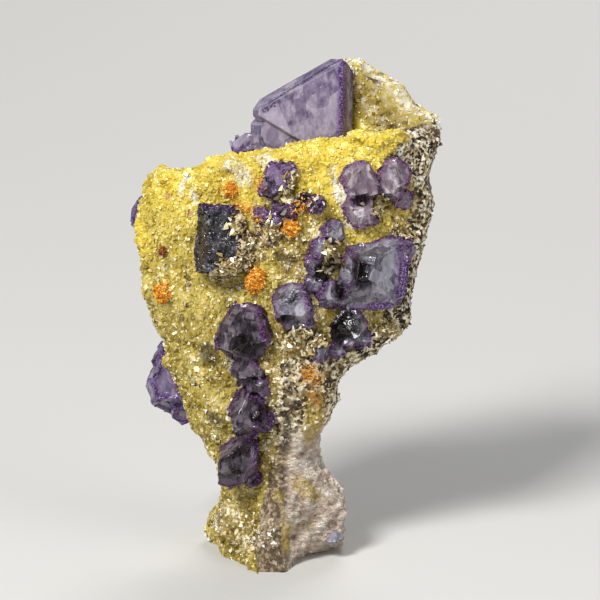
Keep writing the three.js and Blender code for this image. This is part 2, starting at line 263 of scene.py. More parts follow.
def wobble(points: np.ndarray, size_mm: float, octaves: int = 1, offset: float = 0.0) -> np.ndarray:
    """Smooth noise, about -1 to 1, at each point.

    Args:
        points: the places, in metres.
        size_mm: the size of its features.
        octaves: how many finer layers are added.
        offset: sets one pattern apart from another.

    Returns:
        One number for each point.
    """
    scaled = points / (size_mm * MM) + offset
    return np.array([noise.fractal(Vector(p), 1.0, 2.0, octaves) for p in scaled.tolist()])


def domes(points: np.ndarray, size_mm: float) -> np.ndarray:
    """Packs a surface with round domes.

    Args:
        points: the places, in metres.
        size_mm: the domes' size.

    Returns:
        The height at each point, from 0 between the domes to 1 at their tops.
    """
    scaled = points / (size_mm * MM)
    near = np.array([noise.voronoi(Vector(p))[0][0] for p in scaled.tolist()])
    return 1 - np.clip(near, 0, 1) ** 2


def tree_of(*nodes: str) -> BVHTree:
    """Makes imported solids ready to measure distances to.

    Args:
        *nodes: the solids.

    Returns:
        All their faces, in one search tree.
    """
    vertices, faces = [], []
    for mesh in (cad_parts[node].data for node in nodes):
        faces += [[v + len(vertices) for v in p.vertices] for p in mesh.polygons]
        vertices += [v.co for v in mesh.vertices]
    return BVHTree.FromPolygons(vertices, faces)


def distance_mm(trees: list[BVHTree], points: np.ndarray) -> np.ndarray:
    """How far each point is from the nearest of some solids."""
    return np.array([min(tree.find_nearest(Vector(p))[3] for tree in trees) for p in points.tolist()]) / MM


@dataclass(frozen=True)
class Mark:
    """A patch along a line on the surface, strongest on the line.

    Attributes:
        path_mm: the line's points.
        reach_mm: how far from the line it has faded out.
        full_share: the part of that reach in which it is at its strongest.
    """

    path_mm: tuple[Point, ...]
    reach_mm: float
    full_share: float = 0.35

    def strength(self, points: np.ndarray) -> np.ndarray:
        """How strong the mark is at each point.

        Args:
            points: the places, in metres.

        Returns:
            From 0 to 1 for each.
        """
        path = np.array(self.path_mm) * MM
        ends = path[1:] if len(path) > 1 else path
        nearest = np.full(len(points), np.inf)
        for start, end in zip(path, ends):
            along = end - start
            length = max(float(along @ along), 1e-12)
            t = np.clip((points - start) @ along / length, 0, 1)
            nearest = np.minimum(nearest, np.linalg.norm(points - start - t[:, None] * along, axis=1))
        return 1 - smoothstep(nearest / MM, self.full_share * self.reach_mm, self.reach_mm)


def strength(marks: list[Mark], points: np.ndarray) -> np.ndarray:
    """The strongest of some marks at each point, with ragged borders."""
    ragged = points + 0.5 * MM * wobble(points, 1.6)[:, None]
    return np.max([mark.strength(ragged) for mark in marks], axis=0)


# ---------------------------------------------------------------- small crystals, strewn over a surface
@dataclass
class Seats:
    """Places on a surface, with the surface's outward direction at each."""

    points: np.ndarray
    normals: np.ndarray

    def where(self, kept: np.ndarray) -> "Seats":
        """The seats that a mask keeps."""
        return Seats(self.points[kept], self.normals[kept])

    def lifted(self, height_mm: float | np.ndarray) -> "Seats":
        """The seats, moved outwards."""
        return Seats(self.points + height_mm * MM * self.normals, self.normals)


def seats_on(piece: Piece, allowed: np.ndarray, spacing_mm: float, rng: Rng) -> Seats:
    """Spreads seats over part of a surface, no two nearer than a spacing.

    Args:
        piece: the surface.
        allowed: at each of its points, whether seats may be there.
        spacing_mm: the least distance between two seats.
        rng: the source of chance.

    Returns:
        The seats.
    """
    mesh = piece.data
    mesh.calc_loop_triangles()
    corners = np.empty(len(mesh.loop_triangles) * 3, dtype=int)
    mesh.loop_triangles.foreach_get("vertices", corners)
    corners = corners.reshape(-1, 3)
    corners = corners[allowed[corners].all(axis=1)]
    a, b, c = points_of(piece)[corners].transpose(1, 0, 2)
    cross = np.cross(b - a, c - a)
    area = np.linalg.norm(cross, axis=1) / 2
    spacing = spacing_mm * MM
    tries = int(3 * area.sum() / spacing**2)
    picked = rng.choice(len(area), tries, p=area / area.sum())
    u, v = rng.random((2, tries, 1))
    u, v = np.where(u + v > 1, 1 - u, u), np.where(u + v > 1, 1 - v, v)
    places = a[picked] + u * (b - a)[picked] + v * (c - a)[picked]

    taken: dict[tuple[int, int, int], list[list[float]]] = {}
    kept = []
    steps = [(i, j, k) for i in (-1, 0, 1) for j in (-1, 0, 1) for k in (-1, 0, 1)]
    cells = np.floor(places / spacing).astype(int).tolist()
    for number, ((i, j, k), place) in enumerate(zip(cells, places.tolist())):
        near = (other for di, dj, dk in steps for other in taken.get((i + di, j + dj, k + dk), ()))
        if all(math.dist(other, place) >= spacing for other in near):
            taken.setdefault((i, j, k), []).append(place)
            kept.append(number)
    return Seats(places[kept], unit(cross)[picked][kept])


def axes_from(across: np.ndarray, up: np.ndarray) -> np.ndarray:
    """A 3x3 matrix for each crystal, with its x, y and z as the columns, from its x and z."""
    return np.stack([across, np.cross(up, across), up], axis=2)


def axes_on(normals: np.ndarray, lean: float, rng: Rng) -> np.ndarray:
    """Turned axes for small crystals that stand on a surface.

    Args:
        normals: the surface's direction at each.
        lean: how far they lean at random: 0 is upright, and 1 is any way.
        rng: the source of chance.

    Returns:
        A matrix for each, as axes_from gives it.
    """
    up = unit(normals + lean * rng.normal(size=normals.shape))
    return axes_from(unit(np.cross(up, rng.normal(size=up.shape))), up)


def spread(rng: Rng, rows: int, columns: int, low: float, high: float, bias: float = 1.0) -> np.ndarray:
    """Rows of random numbers from low to high, of which a bias above 1 draws more towards low."""
    return low + (high - low) * rng.random((rows, columns)) ** bias


def template(shape: Shape) -> tuple[np.ndarray, list]:
    """Models one small crystal, about 1 unit across, to be copied.

    Args:
        shape: which one.

    Returns:
        Its points and its faces.
    """
    bpy.ops.object.select_all(action="DESELECT")
    if shape is Shape.BLOCK:
        bpy.ops.mesh.primitive_cube_add(size=1.0)
    elif shape is Shape.BIPYRAMID:
        bpy.ops.mesh.primitive_uv_sphere_add(segments=4, ring_count=2, radius=0.6)
    elif shape is Shape.CHIP:
        bpy.ops.mesh.primitive_cylinder_add(vertices=5, radius=0.5, depth=0.16)
    else:
        standing = (0, 0, 0.5)
        bpy.ops.mesh.primitive_cone_add(vertices=4, radius1=0.09, radius2=0.02, depth=1.0, location=standing)
    piece = bpy.context.object
    bpy.ops.object.transform_apply(location=True, rotation=True, scale=True)
    points = points_of(piece)
    if shape is Shape.CHIP:
        points[:, 0] *= np.where(points[:, 1] > 0.1, 0.45, 1.1)
        points[:, 1] += 0.35 * points[:, 0]
    faces = [list(p.vertices) for p in piece.data.polygons]
    bpy.data.objects.remove(piece)
    return points, faces


def strew(
    name: str, kinds: list[Shape], seats: Seats, axes: np.ndarray, sizes: np.ndarray, rng: Rng
) -> Piece:
    """Copies small crystals onto seats, in one mesh.

    Args:
        name: the piece's name.
        kinds: the crystals' shapes, of which each seat gets one.
        seats: where they stand.
        axes: how each is turned.
        sizes: the size of each along its x, y and z, in metres.
        rng: the source of chance.

    Returns:
        The piece. Its "tone" is a random number from 0 to 1 for each crystal.
    """
    chosen = rng.integers(0, len(kinds), len(seats.points))
    tones = rng.random(len(seats.points))
    vertices, faces, tone, count = [], [], [], 0
    for number, (shape, polygons) in enumerate(map(template, kinds)):
        mine = np.nonzero(chosen == number)[0]
        scaled = shape[None] * sizes[mine][:, None, :]
        placed = np.einsum("nij,nvj->nvi", axes[mine], scaled) + seats.points[mine][:, None, :]
        vertices.append(placed.reshape(-1, 3))
        for start in range(count, count + len(mine) * len(shape), len(shape)):
            faces.extend([[start + v for v in polygon] for polygon in polygons])
        tone.append(np.repeat(tones[mine], len(shape)))
        count += len(mine) * len(shape)
    piece = new_piece(name, above_floor(np.concatenate(vertices)), faces)
    store(piece, tone=np.concatenate(tone))
    return piece


# ---------------------------------------------------------------- finishes
@dataclass(frozen=True)
class Finish:
    """What a surface is made of."""

    name: str

    def material(self) -> bpy.types.Material:
        """Makes the finish's material, or finds it where it has been made already.

        Returns:
            The material.
        """
        made = bpy.data.materials.get(self.name)
        if made is None:
            made = bpy.data.materials.new(self.name)
            made.use_nodes = True
            made.node_tree.nodes.clear()
            add = partial(add_node, made.node_tree)
            add("OutputMaterial", **self.shade(add))
        return made

    def shade(self, add: Adder) -> dict[str, Socket]:
        """Adds the finish's nodes.

        Args:
            add: adds a node to the material.

        Returns:
            What goes into each input of the material's output.
        """
        raise NotImplementedError


@dataclass(frozen=True)
class YellowDruse(Finish):
    """Small intergrown crystals of a yellow carbonate, so glassy that each facet catches the light by itself.

    Attributes:
        grain_mm: the size of the finest mottling.
        patch_mm: the size of the paler and darker patches.
        olive_below_mm: the height below which it is olive.
        lemon_above_mm: the height above which it is lemon yellow.
        drift_mm: how far the border between the two rises and falls.
        roughness: how rough the olive part is.
        waxy_roughness: how rough the lemon part is.
        index: its refractive index.
        bump_mm: the height of its finest relief.
    """

    name: str = "yellow_carbonate_druse"
    grain_mm: float = 0.8
    patch_mm: float = 9.0
    olive_below_mm: float = 62.0
    lemon_above_mm: float = 96.0
    drift_mm: float = 30.0
    roughness: float = 0.15
    waxy_roughness: float = 0.3
    index: float = 1.6
    bump_mm: float = 0.3

    def shade(self, add: Adder) -> dict[str, Socket]:
        """Adds the finish's nodes.

        Args:
            add: adds a node to the material.

        Returns:
            What goes into each input of the material's output.
        """
        names = ("tone", "deep", "bright", "tan", "white", "dark", "vein", "pink")
        stored = (add("Attribute", out="Fac", attribute_name=name) for name in names)
        tone, deep, bright, tan, white, dark, vein, pink = stored
        place = add("TexCoord", out="Object")
        broad = add("TexNoise", out="Fac", Vector=place, Scale=pitch(self.patch_mm), Detail=2.0)
        fine = add("TexNoise", out="Fac", Vector=place, Scale=pitch(self.grain_mm), Detail=4.0, Roughness=0.7)
        level = -0.43
        # deep darkens the dips between the crust's lumps: painted shade.
        for pattern, weight in ((broad, 0.8), (tone, 0.42), (fine, 0.9), (deep, -0.28)):
            level = add("Math", pattern, weight, level, operation="MULTIPLY_ADD")
        sharper = add("Math", level, 1.5, -0.24, operation="MULTIPLY_ADD")
        ramps = (
            (level, {0.12: "#57491c", 0.34: "#94823a", 0.55: "#b8a656", 0.76: "#d3c282", 0.95: "#f6efd0"}),
            (level, {0.1: "#b0963a", 0.32: "#cfb84c", 0.55: "#dfc954", 0.78: "#e7d56e", 0.97: "#f4eab2"}),
            (sharper, {0.12: "#2c2212", 0.36: "#6c5830", 0.58: "#a58e5a", 0.84: "#f4ead0"}),
            (level, {0.1: "#958d7a", 0.4: "#d3ccb8", 0.8: "#f8f5ea"}),
        )
        olive, lemon, brown, chalk = (add("ValToRGB", source, stops=stops) for source, stops in ramps)
        height = add("SeparateXYZ", place, out="Z")
        height = add("Math", broad, self.drift_mm * MM, height, operation="MULTIPLY_ADD")
        borders = ((mm + self.drift_mm / 2) * MM for mm in (self.olive_below_mm, self.lemon_above_mm))
        high = add("Math", add("MapRange", height, *borders), bright, operation="MAXIMUM")
        patchy = add("MapRange", fine, 0.36, 0.56)
        tan, white = (add("Math", share, patchy, operation="MULTIPLY") for share in (tan, white))
        colour = olive
        # dark lays painted shade over the clefts and the rear wall.
        layers = ((high, lemon), (tan, brown), (white, chalk), (dark, "#3c2f1a"), (vein, chalk))
        for share, over in (*layers, (pink, "#b27a76")):
            colour = add("MixRGB", share, colour, over)
        bump = add("Bump", Height=fine, Strength=0.5, Distance=self.bump_mm * MM)
        gloss = add("MapRange", high, 0.0, 1.0, self.roughness, self.waxy_roughness)
        surface = add("BsdfPrincipled", Base_Color=colour, Roughness=gloss, IOR=self.index, Normal=bump)
        return {"Surface": surface}


@dataclass(frozen=True)
class BrokenRock(Finish):
    """Coarse-grained rock, freshly broken: matt, in specks of cream, grey and near-black mica.

    Attributes:
        grain_mm: the size of its specks.
        ridge_mm: the spacing of the wrinkles on the heel.
        dust_mm: the size of the finest grain.
        warp_mm: how far the borders of the specks are pushed about.
        cloud_mm: the size of the paler and darker patches.
        lump_mm: the size of the lumps in its relief.
        bump_mm: the height of its finest relief.
        roughness: how rough it is.
        index: its refractive index.
    """

    name: str = "broken_greisen_rock"
    grain_mm: float = 0.72
    ridge_mm: float = 0.72
    dust_mm: float = 0.5
    warp_mm: float = 0.7
    cloud_mm: float = 3.0
    lump_mm: float = 1.3
    bump_mm: float = 0.45
    roughness: float = 0.6
    index: float = 1.5

    def shade(self, add: Adder) -> dict[str, Socket]:
        """Adds the finish's nodes.

        Args:
            add: adds a node to the material.

        Returns:
            What goes into each input of the material's output.
        """
        names = ("weathered", "calm", "ridged", "low", "yellow", "rust", "grey", "dark")
        stored = (add("Attribute", out="Fac", attribute_name=name) for name in names)
        weathered, calm, ridged, low, *patches = stored
        place = add("TexCoord", out="Object")
        fine = add("TexNoise", out="Fac", Vector=place, Scale=pitch(self.dust_mm), Detail=4.0, Roughness=0.7)
        warp = add("TexNoise", out="Color", Vector=place, Scale=pitch(self.warp_mm), Detail=2.0)
        warp = add("VectorMath", warp, Scale=self.warp_mm * MM, operation="SCALE")
        pushed = add("VectorMath", place, warp, operation="ADD")
        cell = add("SeparateColor", add("TexVoronoi", out="Color", Vector=pushed, Scale=pitch(self.grain_mm)))
        cloud = add("TexNoise", out="Fac", Vector=place, Scale=pitch(self.cloud_mm), Detail=5.0)
        drawn = add("Mapping", place, Rotation=(0.0, 0.2, 0.0), Scale=(0.6, 0.6, 1.0))
        ridges = pitch(self.ridge_mm)
        wrinkle = add("TexNoise", out="Fac", Vector=drawn, Scale=ridges, Detail=4.0, Distortion=0.9)
        mixed = -1.2
        for pattern, weight in ((cloud, 1.2), (cell, 1.1), (fine, 1.1)):
            mixed = add("Math", pattern, weight, mixed, operation="MULTIPLY_ADD")
        grit = add("Math", mixed, 0.22, operation="MULTIPLY")
        earth = add("Math", cloud, 0.55, grit, operation="MULTIPLY_ADD")
        streak = add("Math", wrinkle, 0.5, operation="MULTIPLY")
        tint = add("Math", cloud, 0.5, streak, operation="MULTIPLY_ADD")
        specks = {0.14: "#1a140d", 0.29: "#4a3a25", 0.4: "#84704c", 0.54: "#ae9a70", 0.7: "#dacaa2"}
        warmer = {0.1: "#33281a", 0.25: "#5b4930", 0.4: "#85704c", 0.56: "#af996c", 0.73: "#d0bf95"}
        ramps = (
            (mixed, specks | {0.87: "#f9f3e2"}),
            (mixed, warmer | {0.9: "#f3ead2"}),
            (earth, {0.3: "#6d5d4a", 0.42: "#948168", 0.54: "#b3a186", 0.66: "#cdbea4", 0.8: "#e8dec9"}),
            (tint, {0.34: "#a08a7a", 0.45: "#d2beac", 0.53: "#e7d8c8", 0.64: "#faf2e6"}),
        )
        speckled, warm, earthy, plain = (add("ValToRGB", source, stops=stops) for source, stops in ramps)
        patchy = add("MapRange", fine, 0.35, 0.6)
        patches = [add("Math", share, patchy, operation="MULTIPLY") for share in patches]
        # low darkens the pits of the broken grain: painted shade.
        low = add("Math", low, 0.24, operation="MULTIPLY")
        colour = speckled
        layers = [(calm, warm), (weathered, earthy), (ridged, plain)]
        layers += zip(patches, ("#c9ad4e", "#bd8230", "#7a6d5c", "#2c2622"))
        for share, over in (*layers, (low, "#46362a")):
            colour = add("MixRGB", share, colour, over)
        wrinkled = add("Math", wrinkle, ridged, operation="MULTIPLY")
        lumps = add("TexVoronoi", out="Distance", Vector=pushed, Scale=pitch(self.lump_mm))
        relief = add("Math", lumps, -1.2, fine, operation="MULTIPLY_ADD")
        relief = add("Math", wrinkled, 5.5, relief, operation="MULTIPLY_ADD")
        bump = add("Bump", Height=relief, Strength=0.9, Distance=self.bump_mm * MM)
        matt = {"Roughness": self.roughness, "IOR": self.index}
        return {"Surface": add("BsdfPrincipled", Base_Color=colour, Normal=bump, **matt)}


@dataclass(frozen=True)
class ClearFluorite(Finish):
    """Clear fluorite, grown in zones: a glassy body that is paler inside and dark violet along its outline.

    Attributes:
        core: the colour inside the faces.
        veil: the colour of the streaks inside the faces.
        rim: the colour of the zone along the outline.
        glint: the colour of that zone's brighter lines: lilac growth lines, with painted glints on them.
        rim_mm: that zone's width.
        comb_along: the way that the comb-like growth zone runs, where a group has one.
        tooth_mm: the spacing of that comb's teeth.
        block_mm: the size of the parallel growth blocks in it, some painted lit and some painted shaded.
        pane_mm: the size of the flat inner reflections, painted as paler and darker panes.
        streak_mm: the width of the streaks.
        cloud_mm: the size of the clearer and cloudier patches.
        fine_mm: the size of the finest mottling.
        speck: the colour of the pale specks on it.
        speck_mm: their size.
        speck_share: how much of it they cover.
        relief: how strong its growth steps are.
        bump_mm: their height.
        roughness: how rough it is.
        index: its refractive index.
        clarity: the part of the light that goes in.
        body: the colour that a thick piece takes on.
        depth_mm: how deep the light goes before it is mostly taken up.
    """

    core: str
    veil: str
    rim: str
    glint: str
    rim_mm: float = 1.7
    comb_along: Point = (0.84, 0.4, 0.37)
    tooth_mm: float = 1.1
    block_mm: float = 1.1
    pane_mm: float = 2.6
    streak_mm: float = 0.8
    cloud_mm: float = 2.6
    fine_mm: float = 0.4
    # speck: the colour of the pale specks on it, partly painted glints and partly tiny grains.
    speck: str = "#efe9f4"
    speck_mm: float = 0.35
    speck_share: float = 0.012
    relief: float = 0.45
    bump_mm: float = 0.25
    roughness: float = 0.14
    index: float = 1.434
    clarity: float = 0.45
    body: str = "#8a6fb0"
    depth_mm: float = 12.0

    def shade(self, add: Adder) -> dict[str, Socket]:
        """Adds the finish's nodes.

        Args:
            add: adds a node to the material.

        Returns:
            What goes into each input of the material's output.
        """
        names = ("edge_mm", "ridge_mm", "hollow", "facet", "violet", "comb", "brown")
        stored = (add("Attribute", out="Fac", attribute_name=name) for name in names)
        edge, ridge, hollow, facet, violet, comb, brown = stored
        place = add("TexCoord", out="Object")
        drawn = add("Mapping", place, Rotation=(0.3, 0.5, 0.2), Scale=(1.0, 1.0, 0.45))
        width = pitch(self.streak_mm)
        streaks = add("TexNoise", out="Fac", Vector=drawn, Scale=width, Detail=4.0, Roughness=0.65)
        cloud = add("TexNoise", out="Fac", Vector=place, Scale=pitch(self.cloud_mm), Detail=3.0)
        fine = add("TexNoise", out="Fac", Vector=place, Scale=pitch(self.fine_mm), Detail=2.0)
        panes = add("TexVoronoi", out="Color", Vector=place, Scale=pitch(self.pane_mm))
        specks = add("TexVoronoi", out="Color", Vector=place, Scale=pitch(self.speck_mm))
        squares = pitch(self.block_mm)
        blocks = add("TexVoronoi", out="Color", Vector=drawn, Scale=squares, distance="CHEBYCHEV")
        pane, block, speck = (add("SeparateColor", cells) for cells in (panes, blocks, specks))

        lined = add("MapRange", fine, 0.45, 0.62)
        # The rim zone's lighter mottle: lilac growth lines with painted glints.
        zone = add("MixRGB", lined, self.rim, self.glint)
        dusky = add("MixRGB", lined, "#4d3270", "#a58bbd")
        shifted = edge
        for pattern, weight in ((cloud, -1.8), (fine, -1.2)):
            shifted = add("Math", pattern, weight, shifted, operation="MULTIPLY_ADD")
        banded = add("MapRange", streaks, 0.4, 0.6, 0.2, 0.7)
        violet = add("Math", violet, banded, operation="MULTIPLY")
        comb_step = tuple(c / MM for c in self.comb_along)
        along = add("VectorMath", place, comb_step, out="Value", operation="DOT_PRODUCT")
        teeth = add("Math", cloud, 9.0, along, operation="MULTIPLY_ADD")
        teeth = add("Math", teeth, math.tau / self.tooth_mm, operation="MULTIPLY")
        teeth = add("Math", teeth, operation="SINE")
        comb = add("Math", teeth, 0.3, comb, operation="MULTIPLY_ADD")
        # The pale specks: partly painted glints, partly tiny grains.
        speck = add("MapRange", speck, 1 - 2 * self.speck_share, 1.0, 0.0, 0.8)
        speck = add("Math", speck, add("MapRange", cloud, 0.48, 0.6), operation="MULTIPLY")

        veiled = add("Math", streaks, cloud, operation="ADD")
        colour = add("MixRGB", add("MapRange", veiled, 0.78, 1.2), self.veil, self.core)
        for share, over in (
            # Faces turned some ways are painted darker: painted shading by facing.
            (add("MapRange", facet, 0.25, 0.75, 0.6, 0.0), self.veil),
            # Paler and darker panes: painted inner reflections.
            (add("MapRange", pane, 0.64, 0.67, 0.0, 0.5), self.core),
            (add("MapRange", pane, 0.3, 0.33, 0.4, 0.0), self.veil),
            # Lit and shaded growth blocks: painted highlight and painted shade.
            (add("MapRange", block, 0.72, 0.98, 0.0, 0.5), self.core),
            (add("MapRange", block, 0.0, 0.3, 0.55, 0.0), self.veil),
            (add("MapRange", shifted, -1.0, self.rim_mm - 1.5, 0.95, 0.0), zone),
            (violet, dusky),
            (add("MapRange", comb, 0.45, 0.95, 0.0, 0.8), self.rim),
            # A pale line along the ridges: painted highlight.
            (add("MapRange", ridge, 0.1, 0.35, 0.38, 0.0), "#d6cbe4"),
            # painted shade, near-black, in the hollows
            (hollow, "#1f140e"),
            # painted reflection, brown, on the dark block's left side
            (brown, "#6e5f49"),
            # pale specks, partly painted glints
            (speck, self.speck),
        ):
            colour = add("MixRGB", share, colour, over)

        steps = add("Math", fine, 0.5, block, operation="MULTIPLY_ADD")
        bump = add("Bump", Height=steps, Strength=self.relief, Distance=self.bump_mm * MM)
        glass = {"Roughness": self.roughness, "IOR": self.index, "Transmission_Weight": self.clarity}
        surface = add("BsdfPrincipled", Base_Color=colour, Normal=bump, **glass)
        return {"Surface": surface, "Volume": add("VolumeAbsorption", self.body, 1 / (self.depth_mm * MM))}


@dataclass(frozen=True)
class IronOxide(Finish):
    """Powdery needles of goethite: matt, each of its own tone, with painted shade between them.

    Attributes:
        gaps: the dark tone between the needles, painted shade.
        low: the darker needles' tone.
        high: the brighter needles' tone.
        tips: the brightest tone.
        roughness: how rough it is.
        index: its refractive index.
    """

    name: str = "orange_goethite_needles"
    gaps: str = "#8a5010"
    low: str = "#d48a1c"
    high: str = "#f2b436"
    tips: str = "#ffe088"
    roughness: float = 0.7
    index: float = 1.6

    def shade(self, add: Adder) -> dict[str, Socket]:
        """Adds the finish's nodes.

        Args:
            add: adds a node to the material.

        Returns:
            What goes into each input of the material's output.
        """
        tone = add("Attribute", out="Fac", attribute_name="tone")
        colour = add("ValToRGB", tone, stops={0.0: self.gaps, 0.25: self.low, 0.6: self.high, 1.0: self.tips})
        return {"Surface": add("BsdfPrincipled", Base_Color=colour, Roughness=self.roughness, IOR=self.index)}


@dataclass(frozen=True)
class Mica(Finish):
    """Mica: thin cleaved flakes with a pearly shine, each of its own tone from its darkest to its palest.

    Attributes:
        dark: the darkest tone.
        middle: the tone halfway.
        pale: the palest tone.
        cloud_mm: the size of the patches within a flake.
        roughness: how rough a flake is.
        index: its refractive index.
        coat: how strong its pearly sheen is.
    """

    dark: str
    middle: str
    pale: str
    cloud_mm: float = 0.5
    roughness: float = 0.22
    index: float = 1.58
    coat: float = 0.5

    def shade(self, add: Adder) -> dict[str, Socket]:
        """Adds the finish's nodes.

        Args:
            add: adds a node to the material.

        Returns:
            What goes into each input of the material's output.
        """
        place = add("TexCoord", out="Object")
        cloud = add("TexNoise", out="Fac", Vector=place, Scale=pitch(self.cloud_mm), Detail=2.0)
        level = add("Math", cloud, 0.6, -0.3, operation="MULTIPLY_ADD")
        level = add("Math", add("Attribute", out="Fac", attribute_name="tone"), level, operation="ADD")
        colour = add("ValToRGB", level, stops={0.0: self.dark, 0.5: self.middle, 1.0: self.pale})
        pearl = {"Roughness": self.roughness, "IOR": self.index, "Coat_Weight": self.coat}
        return {"Surface": add("BsdfPrincipled", Base_Color=colour, **pearl)}


@dataclass(frozen=True)
class PaleFloor(Finish):
    """Matt pale paper, plain, so that nothing on it draws the eye."""

    name: str = "pale_paper"

    def shade(self, add: Adder) -> dict[str, Socket]:
        """Returns what goes into the material's output: one plain colour."""
        return {"Surface": add("BsdfPrincipled", Base_Color="#cfcdc9", Roughness=0.9)}


WHITE_MICA = Mica("white_mica", "#b5a988", "#e2dac2", "#fdfbf4")
TAN_MICA = Mica("tan_mica", "#5d4c2e", "#b09a66", "#f3eacb")
ROCK_MICA = Mica("rock_mica", "#17120d", "#8c7d64", "#fbf8ee")
ORANGE = IronOxide()
BROWN = IronOxide("brown_goethite_needles", "#4a2410", "#84461e", "#a8642e", "#cf9a62")


def complete(piece: Piece, finish: Finish, slot: Slot, *replaced: str) -> None:
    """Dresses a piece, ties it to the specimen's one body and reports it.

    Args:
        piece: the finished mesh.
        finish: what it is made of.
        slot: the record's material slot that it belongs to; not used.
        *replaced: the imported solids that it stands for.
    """
    piece.data.materials.clear()
    piece.data.materials.append(finish.material())
    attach(piece, "root")
    if replaced:
        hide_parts(*replaced)
    piece.data.calc_loop_triangles()
    LOG.info("%s: %d triangles", piece.name, len(piece.data.loop_triangles))


# ---------------------------------------------------------------- where the surface is marked, in millimetres
# Chalky patches of the crust.
WHITE_MARKS = [
    Mark(((-18.4, -2.2, 87.6), (-18.9, -2.1, 86), (-18.2, -2.3, 84.4)), 0.9),
    Mark(((-3, -4.5, 96.2), (-1, -6, 94.5)), 2.4),
    Mark(((-10, -5, 93.5), (-7, -6, 91)), 3.0),
    Mark(((13, -7, 93.5), (14.5, -8, 90), (16.3, -9.5, 86.5)), 1.2),
    Mark(((16.1, -10.1, 85.9), (17.2, -8.3, 80)), 1.0),
    Mark(
        ((17.7, 16.3, 113.4), (22.3, 14.5, 110.8), (27.6, 9.3, 108.1), (31.1, 8.3, 104.8), (34.5, 5.6, 100.8)),
        2.6,
    ),
]
# Thin white veins across the crust.
VEIN_MARKS = [
    Mark(((-19.9, -1.8, 90.3), (-21.8, -1.5, 86.5)), 0.9),
    Mark(((-19.1, -2.1, 87.0), (-18.2, -2.3, 85.4)), 0.8),
    Mark(((10.7, -6.0, 96.6), (12.9, -7.0, 92.6), (14.6, -9.0, 87.0)), 0.8),
    Mark(((14.6, -9.0, 87.0), (15.6, -9.5, 83.5), (18.0, -8.3, 80.3)), 1.0),
]
# Lemon yellow patches, lower down than the rest of that colour.
BRIGHT_MARKS = [
    Mark(((-25, -0.5, 88.6), (-22, -1, 88)), 4.6),
    Mark(((-31, 3, 77.5), (-30, 2, 74)), 4.4),
    Mark(((-4, -5, 91), (0, -6, 90)), 4.0),
]
# Two small pink patches.
PINK_MARKS = [Mark(((-24.4, -0.8, 85.6),), 1.0), Mark(((-19.1, -2.9, 82.1),), 1.0)]
# Brown patches of the crust, of which the first two carry the densest mica.
TAN_MARKS = [
    Mark(((1, -9, 82), (6, -10, 78), (6, -10, 68), (5, -12, 57), (6, -12, 50)), 8.5),
    Mark(((18, -9, 57), (14, -10, 50)), 5.5),
    Mark(((-1, -11, 47), (0, -11, 30), (-1, -10, 20)), 4.4),
    Mark(((29.9, -4.7, 97.6), (28.3, -7.5, 94.8)), 4.0),
    Mark(((18, 12, 108), (24, 8, 103), (30, 4, 99)), 6.0),
    Mark(((-14, 0, 9), (-7, -7, 6), (-2, -12, 9)), 6.5),
]
# Clefts and gaps in the crust, painted dark as shade.
DARK_MARKS = [
    Mark(((-15.5, -4.4, 50), (-14.2, -4.5, 48)), 3.2),
    Mark(((-14.5, -5.4, 34.2), (-12.5, -5.6, 33)), 2.4),
    Mark(((-25, 0.5, 73), (-24.5, 0.5, 70.5)), 1.8),
    Mark(((0.5, -9, 74), (3.5, -9.5, 72.5)), 1.8),
    Mark(((17.5, 6, 96), (20, 2, 95), (26, -2, 94.5)), 2.2),
    Mark(((28, 2, 97), (31, 0, 96)), 3.4),
    Mark(((17.6, 12, 108), (17.6, 9, 99)), 1.6),
    Mark(((27.0, -5.0, 97.0), (26.0, -7.0, 93.5)), 2.4),
]
# The rear wall, painted a little darker as a whole, as shade.
REAR_MARK = Mark(((18, 12, 108), (24, 8, 103), (30, 4, 99)), 11.0)
# The dark seam down the stem, and the grey rock along it.
SEAM_PATH = (
    (3.5, -11.5, 52), (2.3, -11.3, 48.9), (3.8, -11.5, 39.9), (2.5, -10.7, 30.1), (1.8, -8.3, 20),
    (3.5, -12.3, 11.5), (0.6, -14, 6),
)
SEAM_MARKS = [Mark(SEAM_PATH, 1.5)]
GREY_MARKS = [Mark(((3.0, -11.5, 52), (3.4, -11, 40), (2.5, -10.5, 28)), 1.9)]
# Violet bands, on the summit crystal and the right-hand group.
VIOLET_MARKS = [
    Mark(((16.4, 7.5, 113.0), (16.4, 6.8, 104.0), (16.4, 5.8, 99.0), (16.4, 4.0, 95.5)), 2.4),
    Mark(((28.7, -13, 76), (29.2, -13, 69), (26.5, -13, 63.5), (23, -13, 62.5)), 2.5),
]
# Stretches of outline that carry no dark rim. The second and third keep the summit crystal's top strip pale: a
# painted highlight that evens out that facet's shade.
PLAIN_MARKS = [
    Mark(((-17, -11.8, 84.2), (-17, -11.8, 71)), 1.6),
    Mark(((-3.5, 8.6, 105.4), (5.0, 10.8, 110.2), (13.0, 12.4, 115)), 3.0),
    Mark(((-3.5, 12.0, 106.0), (5.0, 14.0, 110.8), (13.0, 15.4, 115)), 3.4),
    Mark(((-8, 6, 100), (-4, 6, 99.6), (3, 3, 96.5), (9, -1, 93)), 5.5),
]
# A brown painted reflection on the dark block's left side.
BLOCK_REFLECTION_MARKS = [Mark(((-17.0, -11.8, 82.5), (-17.2, -11.8, 72.5)), 2.8)]
# The comb-like zone along the summit crystal's top edge.
COMB_MARK = Mark(((-2.2, 6.0, 104.3), (3.5, 7.9, 107.6), (8.1, 8.6, 110.4), (13.6, 9.9, 113.7)), 1.5)
